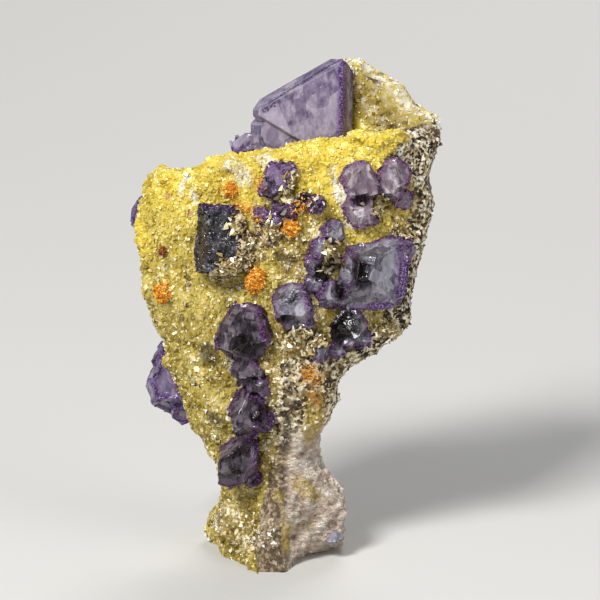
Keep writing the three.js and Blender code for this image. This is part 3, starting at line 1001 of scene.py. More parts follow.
# Places of the orange crumbs, of the tan and white rosettes, and of the white plates.
ORANGE_CRUMBS = [
    (-12.4, -3.7, 87.8), (-3.5, -8.1, 90.4), (-7.8, -6, 84.8), (-6.9, -6.8, 84.3), (-6, -7.2, 83.5),
    (-5.1, -6.8, 82.4), (-3.9, -8.9, 81.5), (-3.5, -7.4, 79.7), (5.8, -10.1, 85.2), (7.1, -8.7, 83.9),
    (5.8, -10.1, 85.9), (8.3, -11.5, 45.9),
]
TAN_ROSETTES = [
    (-8.1, -9.2, 80.9), (-6.7, -9.5, 77.4), (-7.1, -9.2, 73.8), (-9, -11.8, 71.4), (-12.2, -8.3, 69),
    (-11.3, -12.4, 71.6), (-5.3, -8.8, 75.8), (-6.7, -9.8, 72.3), (-1.6, -10.9, 78.7), (0, -10.4, 79.6),
    (3.9, -9, 91.6), (3.5, -7.2, 88.7), (2.5, -9.1, 87.3), (-3.9, -7.4, 78.8), (-3, -8.5, 76),
    (-3.5, -8.6, 73.6), (23.2, -9.2, 86.9), (24.2, -8, 84.6), (12.7, -12.8, 75.5), (14, -8.3, 72.8),
    (11.7, -9, 72), (5.8, -14.4, 56.1), (9.9, -14, 54.8), (27.8, -5.8, 80), (29.9, -4.8, 77.4),
    (27.6, -6.1, 55.1), (25.3, -6.8, 56.5), (2.3, -11.3, 52.9),
]
WHITE_ROSETTES = [
    (-8.1, -7.5, 65), (-9.9, -6.4, 65.6), (-2.3, -13.7, 7.8), (-7.4, -7.7, 3.6),
    (-13.8, 3.9, 6), (16.1, 15.5, 113), (17.2, 13.3, 112.7), (36.6, 5.5, 101.9), (-10.3, -7.2, 47.1),
    (9, -10.5, 86),
]
WHITE_PLATES = [
    (-10.3, -7.2, 47.3), (-15.6, -4.8, 36.4), (-11, -6.8, 36), (-12, -6, 40.5), (-9, -6.4, 65),
    (-13.5, -5.5, 44), (-20, 0, 60), (-21, 0, 55), (-18, -1, 50), (-24, 1, 66), (-1, -14, 12), (-9, -6, 12),
]
# Rusty patches of the rock.
RUST_MARKS = [
    Mark(((7.4, -11.5, 46.6), (9.8, -11, 44.6)), 2.2),
    Mark(((8.3, -10.6, 41.5), (9.8, -10.4, 38.5)), 2.0),
]
# Hollows in the crystals, sunk into the mesh and painted near-black inside as shade.
HOLLOW_MARKS = [
    Mark(((-8.1, -13.0, 24.3), (-8.1, -12.0, 26.9)), 3.0),
    Mark(((-4.4, -15.2, 38.8), (-4.0, -15, 37.2)), 3.0),
    Mark(((3.2, -16.8, 66.6), (4.2, -16.8, 66.2)), 2.6),
    Mark(((2.2, -16.1, 60.2), (3.4, -16.1, 60.0)), 2.6),
    Mark(((-7.5, -15.0, 53.2), (-4.5, -15.0, 51.4)), 4.0),
    Mark(((18.9, -16.2, 73.0), (20.0, -16.8, 69.0)), 3.4),
    Mark(((15.6, -13.1, 70.0), (15.0, -13.1, 66.0)), 2.6),
    Mark(((19.6, -11.4, 87.5),), 2.4),
    Mark(((16.1, -13, 58.1), (14.5, -13, 56.5)), 5.5),
    Mark(((12.7, -8.8, 72), (10.8, -12.2, 69.8)), 3.0),
    Mark(((5.0, -10, 88.5), (6.5, -10, 87.5)), 2.4),
]
# Patches of the rock that are stained yellow.
YELLOW_MARKS = [
    Mark(((9, -9, 41), (9, -9, 30)), 3.4),
    Mark(((5.8, -10, 19.5), (9, -8, 16)), 2.8),
    Mark(((8, -10, 9), (4, -13, 5)), 2.4),
    Mark(((30.6, -4.4, 89), (31, -3, 84), (33, 0, 76)), 2.2),
    Mark(((3, -13, 6), (1.5, -9, 16)), 2.4),
]


# ---------------------------------------------------------------- the rock and its crust
@dataclass
class Outside:
    """The specimen's whole rough outside, as one closed mesh that the crust and the bare rock are taken from.

    Attributes:
        voxel_mm: the mesh's pitch.
        overlap_mm: how far the two solids are grown to close the seam between them.
        hummock_mm: the size of the crust's finest lumps.
        ridge_mm: the spacing of the fine ridges on the heel.
        toe_top_mm: how high the pointed toe reaches.
        toe_front_mm: how far forward it is left to stand.
        toe_share: how much of what stands further forward is drawn back.
        sole_mm: the height below which the foot is cut flat.
        piece: the mesh.
        crusted: at each point, how far inside the crust's border it lies, in millimetres.
        ridged: at each point, how ridged it is, from 0 to 1.
        low: at each point, how deep it lies in the broken grain, from 0 to 1, which the rock's colour darkens
            as painted shade.
    """

    voxel_mm: float = 0.48
    overlap_mm: float = 0.25
    hummock_mm: float = 3.0
    ridge_mm: float = 1.7
    toe_top_mm: float = 16.0
    toe_front_mm: float = -15.6
    toe_share: float = 0.85
    sole_mm: float = 0.35
    piece: Piece = field(init=False)
    crusted: np.ndarray = field(init=False)
    ridged: np.ndarray = field(init=False)
    low: np.ndarray = field(init=False)

    def build(self) -> None:
        """Makes the mesh, and the fields that say where it is crusted and where ridged."""
        self.piece = copy_of("outside", "host_rock", "yellow_crust")
        modify(self.piece, "DISPLACE", strength=self.overlap_mm * MM, mid_level=0.0)
        modify(self.piece, "REMESH", mode="VOXEL", voxel_size=self.voxel_mm * MM)
        self.keep_largest()
        modify(self.piece, "DISPLACE", strength=-self.overlap_mm * MM, mid_level=0.0)
        modify(self.piece, "SMOOTH", factor=0.5, iterations=5)
        points = points_of(self.piece)
        toe = points[:, 2] < self.toe_top_mm * MM
        points[toe, 1] -= self.toe_share * np.minimum(points[toe, 1] - self.toe_front_mm * MM, 0.0)
        move_points(self.piece, points)
        to_rock, to_crust = (distance_mm([tree_of(node)], points) for node in ("host_rock", "yellow_crust"))
        self.crusted = to_rock - to_crust + 0.5 * wobble(points, 3.0, 2)
        x, y, z = (points / MM).T
        self.ridged = smoothstep(x, 1.5, 4.5) * (1 - smoothstep(z, 26, 36)) * (1 - smoothstep(y, 8, 16))
        self.relieve(points)

    def keep_largest(self) -> None:
        """Drops the small closed pockets that the remesh may leave inside."""
        select_only(self.piece)
        bpy.ops.object.mode_set(mode="EDIT")
        bpy.ops.mesh.select_all(action="SELECT")
        bpy.ops.mesh.separate(type="LOOSE")
        bpy.ops.object.mode_set(mode="OBJECT")
        *pockets, self.piece = sorted(bpy.context.selected_objects, key=lambda o: len(o.data.vertices))
        for pocket in pockets:
            bpy.data.objects.remove(pocket)

    def relieve(self, points: np.ndarray) -> None:
        """Gives the surface its relief: lumps on the crust, fine ridges on the heel, broken grain elsewhere.

        Args:
            points: the places of its points.
        """
        on_crust = smoothstep(self.crusted, -0.3, 0.8)
        lumps = 0.7 * (domes(points, self.hummock_mm) - 0.65) + 0.15 * wobble(points, 1.4)
        grain = 0.55 * wobble(points, 4.0, 3, 7.0) + 0.28 * wobble(points, 1.3, 2, 3.0)
        x, y, z = (points / MM).T
        clefts = np.clip(1 - 3 * np.abs(wobble(points, 13.0, 3, 17.0)), 0, 1) ** 3
        broken = grain + smoothstep(y, -2.0, 8.0) * (1.1 * wobble(points, 9.0, 3, 19.0) - 0.9 * clefts)
        phase = (z + 0.22 * x) / self.ridge_mm + 0.9 * wobble(points, 5.0, 2, 11.0)
        crests = 0.5 * (1 - np.abs(np.sin(math.pi * phase)) ** 0.7) + 0.2 * wobble(points, 1.1, 1, 5.0)
        crests += 0.8 * wobble(points, 3.2, 2, 13.0)
        bare = np.clip((1 - self.ridged) * broken + self.ridged * crests, -1.6, 0.8)
        pits = np.clip((1 - self.ridged) * grain + self.ridged * (crests - 0.15), -1, 1)
        # How deep each point lies in the grain, for the painted shade in the pits.
        self.low = smoothstep(-pits, -0.15, 0.45) * (1 - 0.6 * smoothstep(y, 2.0, 9.0))
        heights = on_crust * lumps + (1 - on_crust) * bare
        moved = above_floor(points + points_of(self.piece, "normal") * heights[:, None] * MM)
        moved[points[:, 2] < self.sole_mm * MM, 2] = 0.0
        move_points(self.piece, moved)

    def offset_copy(self, name: str, heights_mm: np.ndarray) -> Piece:
        """Makes a copy of the outside, moved along its normals.

        Args:
            name: the copy's name.
            heights_mm: how far each point moves outwards.

        Returns:
            The copy.
        """
        moved = points_of(self.piece) + points_of(self.piece, "normal") * heights_mm[:, None] * MM
        return new_piece(name, above_floor(moved), [p.vertices for p in self.piece.data.polygons])


@dataclass
class HostRock:
    """The broken rock, which sinks in under the crust.

    Attributes:
        outside: the surface that it is taken from.
        sunk_mm: how far it sinks in under the crust.
        hidden_mm: how far inside the crust's border it is out of sight.
        hidden_ratio: the share of its faces that is kept there.
        flake_mm: the spacing of the flakes of mica in it.
    """

    outside: Outside
    sunk_mm: float = 0.8
    hidden_mm: float = 2.6
    hidden_ratio: float = 0.6
    flake_mm: float = 1.25

    def build(self, rng: Rng) -> None:
        """Makes and dresses the rock and the flakes of mica in it.

        Args:
            rng: the source of chance.
        """
        crusted, ridged = self.outside.crusted, self.outside.ridged
        piece = self.outside.offset_copy("broken_rock", -self.sunk_mm * smoothstep(crusted, 0.2, 2.0))
        points = points_of(piece)
        x, y, z = (points / MM).T
        gaps = smoothstep(wobble(points, 3.5, 2, 21.0), -0.35, 0.2)
        weathered = smoothstep(y + 2.5 * wobble(points, 7.0, 2, 31.0), 0.0, 7.0)
        lowest = (1 - smoothstep(z, 22, 34)) * (1 - ridged)
        store(
            piece,
            ridged=ridged,
            dark=strength(SEAM_MARKS, points) * gaps,
            grey=strength(GREY_MARKS, points) * (0.4 + 0.6 * gaps),
            calm=1 - smoothstep(x, 12.0, 22.0),
            weathered=np.maximum(0.9 * weathered, 0.8 * lowest),
            # painted shade in the pits of the broken grain
            low=self.outside.low,
            yellow=strength(YELLOW_MARKS, points),
            rust=strength(RUST_MARKS, points),
        )
        broken = (crusted < 0.2) & (ridged < 0.3) & (weathered < 0.5) & (lowest < 0.5)
        seats = seats_on(piece, broken, self.flake_mm, rng).lifted(0.08)
        hidden = piece.vertex_groups.new(name="hidden")
        hidden.add(np.nonzero(crusted > self.hidden_mm)[0].tolist(), 1.0, "REPLACE")
        modify(piece, "DECIMATE", ratio=self.hidden_ratio, vertex_group="hidden", vertex_group_factor=8.0)
        piece.data.shade_smooth()
        complete(piece, BrokenRock(), Slot.ROCK, "host_rock")
        count = len(seats.points)
        sizes = spread(rng, count, 1, 0.45, 1.2, 2) * spread(rng, count, 3, 0.7, 1.3) * MM
        flakes = strew("rock_mica", [Shape.CHIP], seats, axes_on(seats.normals, 0.6, rng), sizes, rng)
        complete(flakes, ROCK_MICA, Slot.ROCK)


@dataclass
class Crust:
    """The bed of the yellow crust: a closed shell over the front, the ridge and the rear wall.

    Attributes:
        outside: the surface that it is taken from.
        thickness_mm: how thick the shell is.
        border_mm: how far outside the crust's border it reaches.
        top: its outer side alone, to seat crystals on.
        inner: at each point of that side, how far inside the crust's border it lies, in millimetres.
    """

    outside: Outside
    thickness_mm: float = 1.6
    border_mm: float = 0.3
    top: Piece = field(init=False)
    inner: np.ndarray = field(init=False)

    def build(self) -> None:
        """Makes and dresses the crust's bed."""
        crusted = self.outside.crusted
        heights = -0.15 + 0.3 * smoothstep(crusted, -self.border_mm, 0.7)
        whole = self.outside.offset_copy("whole_crust", heights)
        outer = crusted > -self.border_mm
        numbers = np.cumsum(outer) - 1
        faces = ([v for v in p.vertices] for p in whole.data.polygons)
        kept = [[numbers[v] for v in face] for face in faces if all(outer[v] for v in face)]
        piece = new_piece("crust_bed", points_of(whole)[outer], kept)
        bpy.data.objects.remove(whole)
        self.inner = crusted[outer]
        self.colour(piece)
        store(piece, tone=np.full(len(self.inner), 0.35))
        self.top = new_piece("crust_top", points_of(piece), kept)
        modify(piece, "SOLIDIFY", thickness=self.thickness_mm * MM, offset=-1.0)
        move_points(piece, above_floor(points_of(piece)))
        piece.data.shade_smooth()
        complete(piece, YellowDruse(), Slot.CRUST, "yellow_crust")

    @staticmethod
    def colour(piece: Piece) -> None:
        """Keeps, at each point, how tan or white the crust is there, and how dark it is painted as shade.

        Args:
            piece: the crust's bed, or the crystals on it.
        """
        points = points_of(piece)
        store(
            piece,
            tan=strength(TAN_MARKS, points),
            white=strength(WHITE_MARKS, points),
            # dark is painted shade: in the clefts, and fainter over the rear wall.
            dark=np.maximum(0.75 * strength(DARK_MARKS, points), 0.3 * REAR_MARK.strength(points)),
            # deep is painted shade in the dips between the lumps.
            deep=1 - domes(points, Outside.hummock_mm),
            bright=strength(BRIGHT_MARKS, points),
            vein=smoothstep(strength(VEIN_MARKS, points), 0.0, 0.5),
            pink=0.8 * strength(PINK_MARKS, points),
        )


@dataclass
class Druse:
    """The small yellow crystals that cover the crust, thinly on the rear wall and thickly elsewhere.

    Attributes:
        crust: the crust's bed.
        spacing_mm: how near to each other they stand.
        smallest_mm: the smallest one's size.
        largest_mm: the largest one's size.
        rear_share: how many of them stand on the rear wall, as a share of those elsewhere.
        halves_mm: the height at which they are parted into two pieces.
    """

    crust: Crust
    spacing_mm: float = 0.62
    smallest_mm: float = 0.45
    largest_mm: float = 1.15
    rear_share: float = 0.3
    halves_mm: float = 66.0

    def build(self, rng: Rng) -> None:
        """Strews the crystals and dresses them.

        Args:
            rng: the source of chance.
        """
        seats = seats_on(self.crust.top, self.crust.inner > 0.1, self.spacing_mm, rng)
        _, y, z = (seats.points / MM).T
        rear = smoothstep(y, 1.0, 4.0) * smoothstep(z, 88.0, 93.0)
        seats = seats.where(rng.random(len(rear)) > rear * (1 - self.rear_share))
        upper = seats.points[:, 2] > self.halves_mm * MM
        for name, kept in (("upper_yellow_crystals", upper), ("lower_yellow_crystals", ~upper)):
            self.grow(name, seats.where(kept), rng)
        bpy.data.objects.remove(self.crust.top)

    def grow(self, name: str, seats: Seats, rng: Rng) -> None:
        """Makes the crystals of one part of the crust.

        Args:
            name: the piece's name.
            seats: where they stand.
            rng: the source of chance.
        """
        count = len(seats.points)
        axes = axes_on(seats.normals, 0.55, rng)
        size = spread(rng, count, 1, self.smallest_mm, self.largest_mm, 2)
        sizes = size * spread(rng, count, 3, 0.75, 1.25) * MM
        grains = strew(name, [Shape.BLOCK, Shape.BIPYRAMID], seats.lifted(-0.12 * size), axes, sizes, rng)
        Crust.colour(grains)
        complete(grains, YellowDruse(), Slot.CRUST)


@dataclass
class Flakes:
    """Mica flakes: single ones over the crust, and rosettes of larger ones that overgrow crust and crystals.

    Attributes:
        carriers: every solid that a flake may sit on.
        single_mm: the spacing of the single flakes.
        dense_mm: the spacing of the tan flakes where they lie densely.
        drawn: the way that the single flakes are drawn out.
    """

    carriers: BVHTree
    single_mm: float = 1.55
    dense_mm: float = 1.5
    drawn: Point = (0.35, 0.0, -0.9)

    def build(self, crust: Crust, rng: Rng) -> None:
        """Makes and dresses the flakes.

        Args:
            crust: the crust's bed.
            rng: the source of chance.
        """
        seats = seats_on(crust.top, crust.inner > 0.3, self.single_mm, rng)
        sizes = spread(rng, len(seats.points), 1, 0.45, 1.45, 2.5) * np.array([[1.0, 0.36, 1.2]]) * MM
        up = unit(seats.normals + 0.35 * rng.normal(size=seats.normals.shape))
        across = unit(np.cross(np.cross(up, np.array(self.drawn) + 0.25 * rng.normal(size=up.shape)), up))
        single = strew("mica_flakes", [Shape.CHIP], seats.lifted(0.34), axes_from(across, up), sizes, rng)
        complete(single, WHITE_MICA, Slot.CRUST)

        dense = strength(TAN_MARKS[:2], points_of(crust.top)) > 0.4
        tan = seats_on(crust.top, (crust.inner > 0.5) & dense, self.dense_mm, rng)
        self.overgrow("tan_mica", tan, 0.8, TAN_MICA, rng)
        self.overgrow("tan_rosettes", self.around(TAN_ROSETTES, rng, 80), 1.2, TAN_MICA, rng)
        crumbs = needles_on("orange_crumbs", self.around(ORANGE_CRUMBS, rng), rng)
        complete(crumbs, ORANGE, Slot.IRON)
        self.overgrow("white_rosettes", self.around(WHITE_ROSETTES, rng), 0.7, WHITE_MICA, rng)
        self.overgrow("white_plates", self.around(WHITE_PLATES, rng, 4, 0.7), 1.0, WHITE_MICA, rng)

    def around(self, places_mm: list[Point], rng: Rng, flakes: int = 60, spread_mm: float = 1.15) -> Seats:
        """Finds seats close around some places, on whatever solid is nearest there.

        Args:
            places_mm: the places.
            rng: the source of chance.
            flakes: how many seats each place has.
            spread_mm: how far they lie from it.

        Returns:
            The seats.
        """
        found = []
        for place in (Vector(p) for p in places_mm for _ in range(flakes)):
            near = place + Vector(rng.normal(size=3)) * spread_mm
            found.append(self.carriers.find_nearest(near * MM)[:2])
        points, normals = zip(*found)
        return Seats(np.array(points), np.array(normals))

    def overgrow(self, name: str, seats: Seats, size_mm: float, finish: Finish, rng: Rng) -> None:
        """Makes and dresses flakes that stand on their seats at every angle.

        Args:
            name: the piece's name.
            seats: where they stand.
            size_mm: their middling size.
            finish: what they are made of.
            rng: the source of chance.
        """
        count = len(seats.points)
        wide = size_mm * spread(rng, count, 1, 0.5, 1.5, 1.5)
        sizes = wide * spread(rng, count, 3, 0.7, 1.3) * np.array([[1.1, 1.1, 0.8]]) * MM
        lifted = seats.lifted(spread(rng, count, 1, 0.1, 0.35))
        flakes = strew(name, [Shape.CHIP], lifted, axes_on(seats.normals, 0.7, rng), sizes, rng)
        complete(flakes, finish, Slot.CRUST)


# ---------------------------------------------------------------- the fluorite
@dataclass
class EdgeLines:
    """Lines of points along a crystal's edges, with the direction of each edge and of its forward face.

    Attributes:
        points: the points.
        along: at each, the edge itself as a direction.
        facing: at each, the direction of the face that looks outwards most.
    """

    points: list[Vector] = field(default_factory=list)
    along: list[Vector] = field(default_factory=list)
    facing: list[Vector] = field(default_factory=list)

    def add(self, edge: bmesh.types.BMEdge, out: Vector) -> None:
        """Adds an edge's points.

        Args:
            edge: the edge.
            out: the way that the crystals have grown.
        """
        a, b = (v.co.copy() for v in edge.verts)
        normal = max((f.normal.copy() for f in edge.link_faces), key=lambda n: n.dot(out))
        steps = max(2, int((b - a).length / (0.2 * MM)))
        for n in range(steps + 1):
            self.points.append(a.lerp(b, n / steps))
            self.along.append((b - a).normalized())
            self.facing.append(normal)

    def distance_mm(self, points: np.ndarray) -> np.ndarray:
        """How far each point is from the lines.

        Args:
            points: the places.

        Returns:
            The distances, or a long one where there are no lines.
        """
        if not self.points:
            return np.full(len(points), 9.0)
        tree = KDTree(len(self.points))
        for number, place in enumerate(self.points):
            tree.insert(place, number)
        tree.balance()
        return np.array([tree.find(Vector(p))[2] for p in points.tolist()]) / MM


@dataclass
class CrystalGroup:
    """A group of fluorite crystals that have grown together.

    Attributes:
        node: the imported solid.
        finish: its clarity and colours.
        nub_mm: the size of the small crystals that have grown along its outline.
        nub_share: how many of them there are, as a share of the outline's points.
        parquet_mm: the spacing of the small parallel crystals on its faces, or 0 for none.
        parquet_tall_mm: how tall those are.
        rise_mm: how far the rims stand up above the inner parts of the faces.
        hollow_mm: how deep the marked hollows are.
        rough_mm: how uneven its faces are.
        mesh_mm: the longest edge that its mesh is cut down to, so that its zones show.
        edge_mm: how far its edges are worn.
    """

    node: str
    finish: ClearFluorite
    nub_mm: float = 0.38
    nub_share: float = 0.06
    parquet_mm: float = 2.2
    parquet_tall_mm: float = 0.5
    rise_mm: float = 0.4
    hollow_mm: float = 1.5
    rough_mm: float = 0.04
    mesh_mm: float = 0.45
    edge_mm: float = 0.1

    def build(self, grounds: list[BVHTree], rng: Rng) -> None:
        """Makes and dresses the group.

        Args:
            grounds: the solids that it has grown on.
            rng: the source of chance.
        """
        piece = copy_of("fluorite_" + self.node, self.node)
        outline, ridges = self.edge_lines(piece, self.outward(piece, grounds))
        self.refine(piece)
        self.sink_faces(piece, outline, grounds)
        parts = [piece, self.nubs(outline, rng)]
        if self.parquet_mm:
            parts.append(self.parquet(piece, outline, grounds, rng))
        select_only(*parts)
        bpy.ops.object.join()
        points = points_of(piece)
        rim = np.minimum(outline.distance_mm(points), 0.8 * distance_mm(grounds, points))
        violet = strength(VIOLET_MARKS, points)
        store(
            piece,
            # PLAIN_MARKS take the rim away; on the summit's top strip that is a painted highlight.
            edge_mm=rim + 6 * strength(PLAIN_MARKS, points) - 1.5 * violet,
            violet=violet,
            # ridge_mm places the painted highlight along the ridges
            ridge_mm=ridges.distance_mm(points),
            # painted shade in the hollows
            hollow=0.95 * strength(HOLLOW_MARKS, points),
            # painted reflection on the dark block's left side
            brown=0.85 * strength(BLOCK_REFLECTION_MARKS, points),
            comb=COMB_MARK.strength(points),
        )
        # Each face's tone follows the way it faces: painted shading by facing.
        offset = Vector(rng.random(3) * 50)
        tones = [noise.noise(Vector(n) * 1.6 + offset) for n in points_of(piece, "normal").tolist()]
        store(piece, facet=0.5 + 0.6 * np.array(tones))
        complete(piece, self.finish, Slot.FLUORITE, self.node)

    @staticmethod
    def outward(piece: Piece, grounds: list[BVHTree]) -> Vector:
        """Finds the way that the group has grown, away from the rock.

        Args:
            piece: the group.
            grounds: the solids that it has grown on.

        Returns:
            The mean of its free faces' directions.
        """
        total = Vector()
        for face in piece.data.polygons:
            if min(ground.find_nearest(face.center)[3] for ground in grounds) > 0.6 * MM:
                total += face.normal * face.area
        return total.normalized()

    @staticmethod
    def edge_lines(piece: Piece, out: Vector) -> tuple[EdgeLines, EdgeLines]:
        """Sorts the group's sharp edges.

        Args:
            piece: the group.
            out: the way that it has grown.

        Returns:
            Its outline, and the other edges of its free faces.
        """
        shape = bmesh.new()
        shape.from_mesh(piece.data)
        outline, ridges = EdgeLines(), EdgeLines()
        for edge in shape.edges:
            if len(edge.link_faces) != 2 or edge.calc_face_angle_signed(0.0) < math.radians(12):
                continue
            facing = [f.normal.dot(out) for f in edge.link_faces]
            if min(facing) < 0.2 and max(facing) > -0.2:
                outline.add(edge, out)
            elif min(facing) >= 0.2:
                ridges.add(edge, out)
        shape.free()
        return outline, ridges

    def refine(self, piece: Piece) -> None:
        """Wears the group's edges, and cuts its mesh until no edge is longer than the limit.

        Args:
            piece: the group.
        """
        select_only(piece)
        bpy.ops.object.mode_set(mode="EDIT")
        bpy.ops.mesh.select_all(action="SELECT")
        bpy.ops.mesh.dissolve_limited(angle_limit=math.radians(2))
        bpy.ops.object.mode_set(mode="OBJECT")
        worn = {"width": self.edge_mm * MM, "segments": 1, "limit_method": "ANGLE"}
        modify(piece, "BEVEL", angle_limit=math.radians(20), **worn)
        shape = bmesh.new()
        shape.from_mesh(piece.data)
        bmesh.ops.triangulate(shape, faces=shape.faces)
        for _ in range(8):
            long = [e for e in shape.edges if e.calc_length() > self.mesh_mm * MM]
            if not long:
                break
            bmesh.ops.subdivide_edges(shape, edges=long, cuts=1)
            bmesh.ops.triangulate(shape, faces=shape.faces)
        shape.to_mesh(piece.data)
        shape.free()

    def sink_faces(self, piece: Piece, outline: EdgeLines, grounds: list[BVHTree]) -> None:
        """Lowers the faces' inner parts below their rims, sinks the hollows in steps, and roughens it all.

        Args:
            piece: the group.
            outline: its outline.
            grounds: the solids that it has grown on.
        """
        points = points_of(piece)
        inside = smoothstep(outline.distance_mm(points), 0.7, 1.5)
        free = smoothstep(distance_mm(grounds, points), 0.4, 1.4)
        steps = np.floor(strength(HOLLOW_MARKS, points) * 4) / 4
        sunk = inside * (self.rise_mm + self.hollow_mm * steps) * free
        grown = self.rough_mm * free * wobble(points, 1.1, 2, 41.0)
        move_points(piece, points + points_of(piece, "normal") * (grown - sunk)[:, None] * MM)

    def nubs(self, outline: EdgeLines, rng: Rng) -> Piece:
        """Makes the small crystals along the outline, which lie parallel to the large one.

        Args:
            outline: the group's outline.
            rng: the source of chance.

        Returns:
            The small crystals.
        """
        picked = rng.random(len(outline.points)) < self.nub_share
        points, along, facing = (np.array(v)[picked] for v in (outline.points, outline.along, outline.facing))
        count = len(points)
        size = self.nub_mm * spread(rng, count, 1, 0.5, 1.5, 2)
        sizes = size * spread(rng, count, 3, 0.8, 1.2) * MM
        seats = Seats(points, facing).lifted(-size * spread(rng, count, 1, 0.38, 0.53))
        axes = np.stack([along, np.cross(facing, along), facing], axis=2)
        return strew(self.node + "_nubs", [Shape.BLOCK], seats, axes, sizes, rng)

    def parquet(self, piece: Piece, outline: EdgeLines, grounds: list[BVHTree], rng: Rng) -> Piece:
        """Makes the low parallel crystals that step up from the faces.

        Args:
            piece: the group.
            outline: its outline.
            grounds: the solids that it has grown on.
            rng: the source of chance.

        Returns:
            The low crystals.
        """
        seats = seats_on(piece, distance_mm(grounds, points_of(piece)) > 1.0, self.parquet_mm, rng)
        guide = np.array(outline.along[int(np.argmax([a.length for a in outline.along]))])
        across = unit(guide - seats.normals * (seats.normals @ guide)[:, None])
        count = len(seats.points)
        wide = 0.75 * self.parquet_mm * spread(rng, count, 2, 0.5, 1.4)
        sizes = np.hstack([wide, np.full((count, 1), self.parquet_tall_mm)]) * MM
        seats = seats.lifted(-spread(rng, count, 1, 0.25, 0.09, 2))
        axes = axes_from(across, seats.normals)
        return strew(self.node + "_parquet", [Shape.BLOCK], seats, axes, sizes, rng)


# ---------------------------------------------------------------- the iron oxide
@dataclass
class IronTuft:
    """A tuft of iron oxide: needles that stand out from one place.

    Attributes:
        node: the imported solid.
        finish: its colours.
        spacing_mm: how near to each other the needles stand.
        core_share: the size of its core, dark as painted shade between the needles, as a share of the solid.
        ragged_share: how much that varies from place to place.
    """

    node: str
    finish: IronOxide
    spacing_mm: float = 0.24
    core_share: float = 0.72
    ragged_share: float = 0.22

    def build(self, rng: Rng) -> None:
        """Makes and dresses the tuft.

        Args:
            rng: the source of chance.
        """
        core = copy_of(self.node + "_core", self.node)
        modify(core, "SUBSURF", levels=2, subdivision_type="SIMPLE")
        points = points_of(core)
        centre = points.mean(axis=0)
        ragged = self.core_share + self.ragged_share * wobble(points, 1.3, 2)
        move_points(core, centre + (points - centre) * ragged[:, None])
        seats = seats_on(core, np.ones(len(points), dtype=bool), self.spacing_mm, rng)
        needles = needles_on(self.node + "_needles", seats, rng)
        # The core takes the darkest tones, as painted shade between the needles.
        store(core, tone=0.35 * rng.random(len(points)))
        select_only(needles, core)
        bpy.ops.object.join()
        complete(needles, self.finish, Slot.IRON, self.node)


def needles_on(name: str, seats: Seats, rng: Rng) -> Piece:
    """Stands short needles on their seats at every angle.

    Args:
        name: the piece's name.
        seats: where they stand.
        rng: the source of chance.

    Returns:
        The needles.
    """
    count = len(seats.points)
    reach = spread(rng, count, 1, 0.3, 1.05, 2) * MM
    width = 2.4 * spread(rng, count, 1, 0.6, 1.5) * MM
    sizes = np.hstack([width, width / 2, reach])
    return strew(name, [Shape.BLADE], seats, axes_on(seats.normals, 1.0, rng), sizes, rng)


# ---------------------------------------------------------------- the studio
@dataclass
class Studio:
    """The plain pale floor, the soft light and the camera.

    Attributes:
        aim_mm: the place that the camera and the lights look at.
        elevation_deg: how far the camera looks down.
        distance: how far away the camera stands.
        view_mm: how wide its view is at the specimen.
        floor: half the floor's side.
        sky: the colour of the light from all round.
        sky_strength: how strong that light is.
    """

    aim_mm: Point = (5.75, 0.0, 60.6)
    elevation_deg: float = 15.0
    distance: float = 1.3
    view_mm: float = 138.0
    floor: float = 4.0
    sky: str = "#e6ecf2"
    sky_strength: float = 0.2

    def build(self) -> None:
        """Makes the floor, the lights and the camera."""
        corners = [(-1, -1, 0), (1, -1, 0), (1, 1, 0), (-1, 1, 0)]
        floor = new_piece("floor", self.floor * np.array(corners), [(0, 1, 2, 3)])
        floor.data.materials.append(PaleFloor().material())
        self.light("key_light", (-0.5, -0.8, 0.95), 0.34, 16)
        self.light("fill_light", (0.9, -0.7, 0.45), 0.6, 3.5)
        self.light("back_light", (0.2, 0.9, 0.8), 0.6, 5)
        scene = bpy.context.scene
        scene.world = bpy.data.worlds.new("studio")
        scene.world.use_nodes = True
        sky = scene.world.node_tree.nodes["Background"]
        sky.inputs["Color"].default_value = linear(self.sky)
        sky.inputs["Strength"].default_value = self.sky_strength
        scene.view_settings.view_transform = "Standard"
        scene.view_settings.look = "Medium High Contrast"
        self.camera()

    def light(self, name: str, place: Point, size: float, power: float) -> None:
        """Adds a soft square light that faces the specimen.

        Args:
            name: its name.
            place: where it stands.
            size: its side.
            power: its power in watts.
        """
        data = bpy.data.lights.new(name, "AREA")
        data.shape = "SQUARE"
        data.size = size
        data.energy = power
        self.aimed(name, data, Vector(place))

    def camera(self) -> None:
        """Sets the camera before the crystal side, a little above it."""
        data = bpy.data.cameras.new("camera")
        data.sensor_width = 36.0
        data.lens = data.sensor_width * self.distance / (self.view_mm * MM)
        data.clip_end = 20.0
        tilt = math.radians(self.elevation_deg)
        back = Vector((0, -math.cos(tilt), math.sin(tilt)))
        bpy.context.scene.camera = self.aimed("camera", data, Vector(self.aim_mm) * MM + back * self.distance)

    def aimed(self, name: str, data: bpy.types.ID, place: Vector) -> bpy.types.Object:
        """Adds a light or a camera that looks at the specimen.

        Args:
            name: its name.
            data: the light or camera.
            place: where it stands.

        Returns:
            The new object, in the scene.
        """
        thing = bpy.data.objects.new(name, data)
        thing.location = place
        thing.rotation_euler = (Vector(self.aim_mm) * MM - place).to_track_quat("-Z", "Y").to_euler()
        bpy.context.scene.collection.objects.link(thing)
        return thing


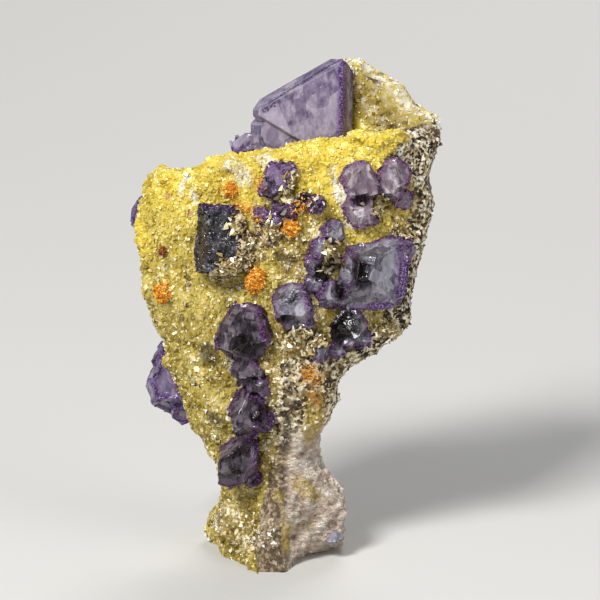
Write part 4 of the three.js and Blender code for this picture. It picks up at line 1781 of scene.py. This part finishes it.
# ---------------------------------------------------------------- what grows where
PALE = ClearFluorite(
    "pale_fluorite", core="#d0c5d6", veil="#766987", rim="#472a60", glint="#a283bc", block_mm=2.6,
    pane_mm=6.5, relief=0.3, clarity=0.35, body="#b7a4cc", depth_mm=14,
)
ZONED = ClearFluorite(
    "zoned_fluorite", core="#d6d3de", veil="#635e6b", rim="#422650", glint="#a67fae", clarity=0.4, depth_mm=9
)
VIOLET = ClearFluorite(
    "violet_fluorite", core="#c2aacd", veil="#2c1d36", rim="#382048", glint="#aa78b6", clarity=0.4, depth_mm=8
)
ROSY = ClearFluorite(
    "rosy_fluorite", core="#e2d6de", veil="#7f6d7b", rim="#4a2850", glint="#b585b0", clarity=0.35, depth_mm=9
)
DEEP = ClearFluorite(
    "deep_fluorite", core="#aa9da9", veil="#372c36", rim="#3a2048", glint="#96699c", body="#6c5590",
    depth_mm=6,
)
BLUISH = ClearFluorite(
    "bluish_fluorite", core="#c4c2cc", veil="#a5a2b0", rim="#918fa0", glint="#bab8c8", rim_mm=0.5, clarity=0.4
)
DARK = ClearFluorite(
    "dark_fluorite", core="#6e6b70", veil="#0d0c0c", rim="#2c1a3a", glint="#7f5c94", block_mm=0.5,
    pane_mm=1.2, speck="#d6d4da", speck_mm=0.32, speck_share=0.2, relief=1.0, clarity=0.5, body="#55486c",
    depth_mm=4,
)
FLUORITE = [
    CrystalGroup("summit_crystal", PALE, nub_share=0.05, parquet_mm=0.0, rise_mm=0.0, rough_mm=0.05),
    CrystalGroup("ridge_crystal", PALE),
    CrystalGroup("left_rim_crystal", PALE),
    CrystalGroup("back_crystals", PALE),
    CrystalGroup("dark_block", DARK, parquet_mm=0.85, rise_mm=0.15, rough_mm=0.38),
    CrystalGroup("upper_cluster", VIOLET),
    CrystalGroup("heart_twin", ROSY),
    CrystalGroup("right_cluster", ZONED),
    CrystalGroup("middle_crystal", ZONED),
    CrystalGroup("high_column_crystals", DEEP),
    CrystalGroup("middle_column_crystals", DEEP),
    CrystalGroup("low_column_crystals", DEEP),
    CrystalGroup("foot_crystal", BLUISH),
]
ORANGE_TUFTS = ("crown", "shoulder", "centre", "below_block", "left")
TUFTS = [IronTuft("iron_tuft_" + place, ORANGE) for place in ORANGE_TUFTS]
TUFTS.append(IronTuft("iron_tuft_left_small", BROWN))


def main() -> None:
    """Makes the specimen and its studio."""
    rng = np.random.default_rng(SEED)
    outside = Outside()
    outside.build()
    HostRock(outside).build(rng)
    crust = Crust(outside)
    crust.build()
    bpy.data.objects.remove(outside.piece)
    carriers = tree_of("host_rock", "yellow_crust", *(group.node for group in FLUORITE))
    Flakes(carriers).build(crust, rng)
    Druse(crust).build(rng)
    grounds = [tree_of("host_rock"), tree_of("yellow_crust")]
    for group in FLUORITE:
        group.build(grounds, rng)
    for tuft in TUFTS:
        tuft.build(rng)
    Studio().build()


if __name__ == "__main__":
    logging.basicConfig(level=logging.INFO, format="%(message)s")
    main()
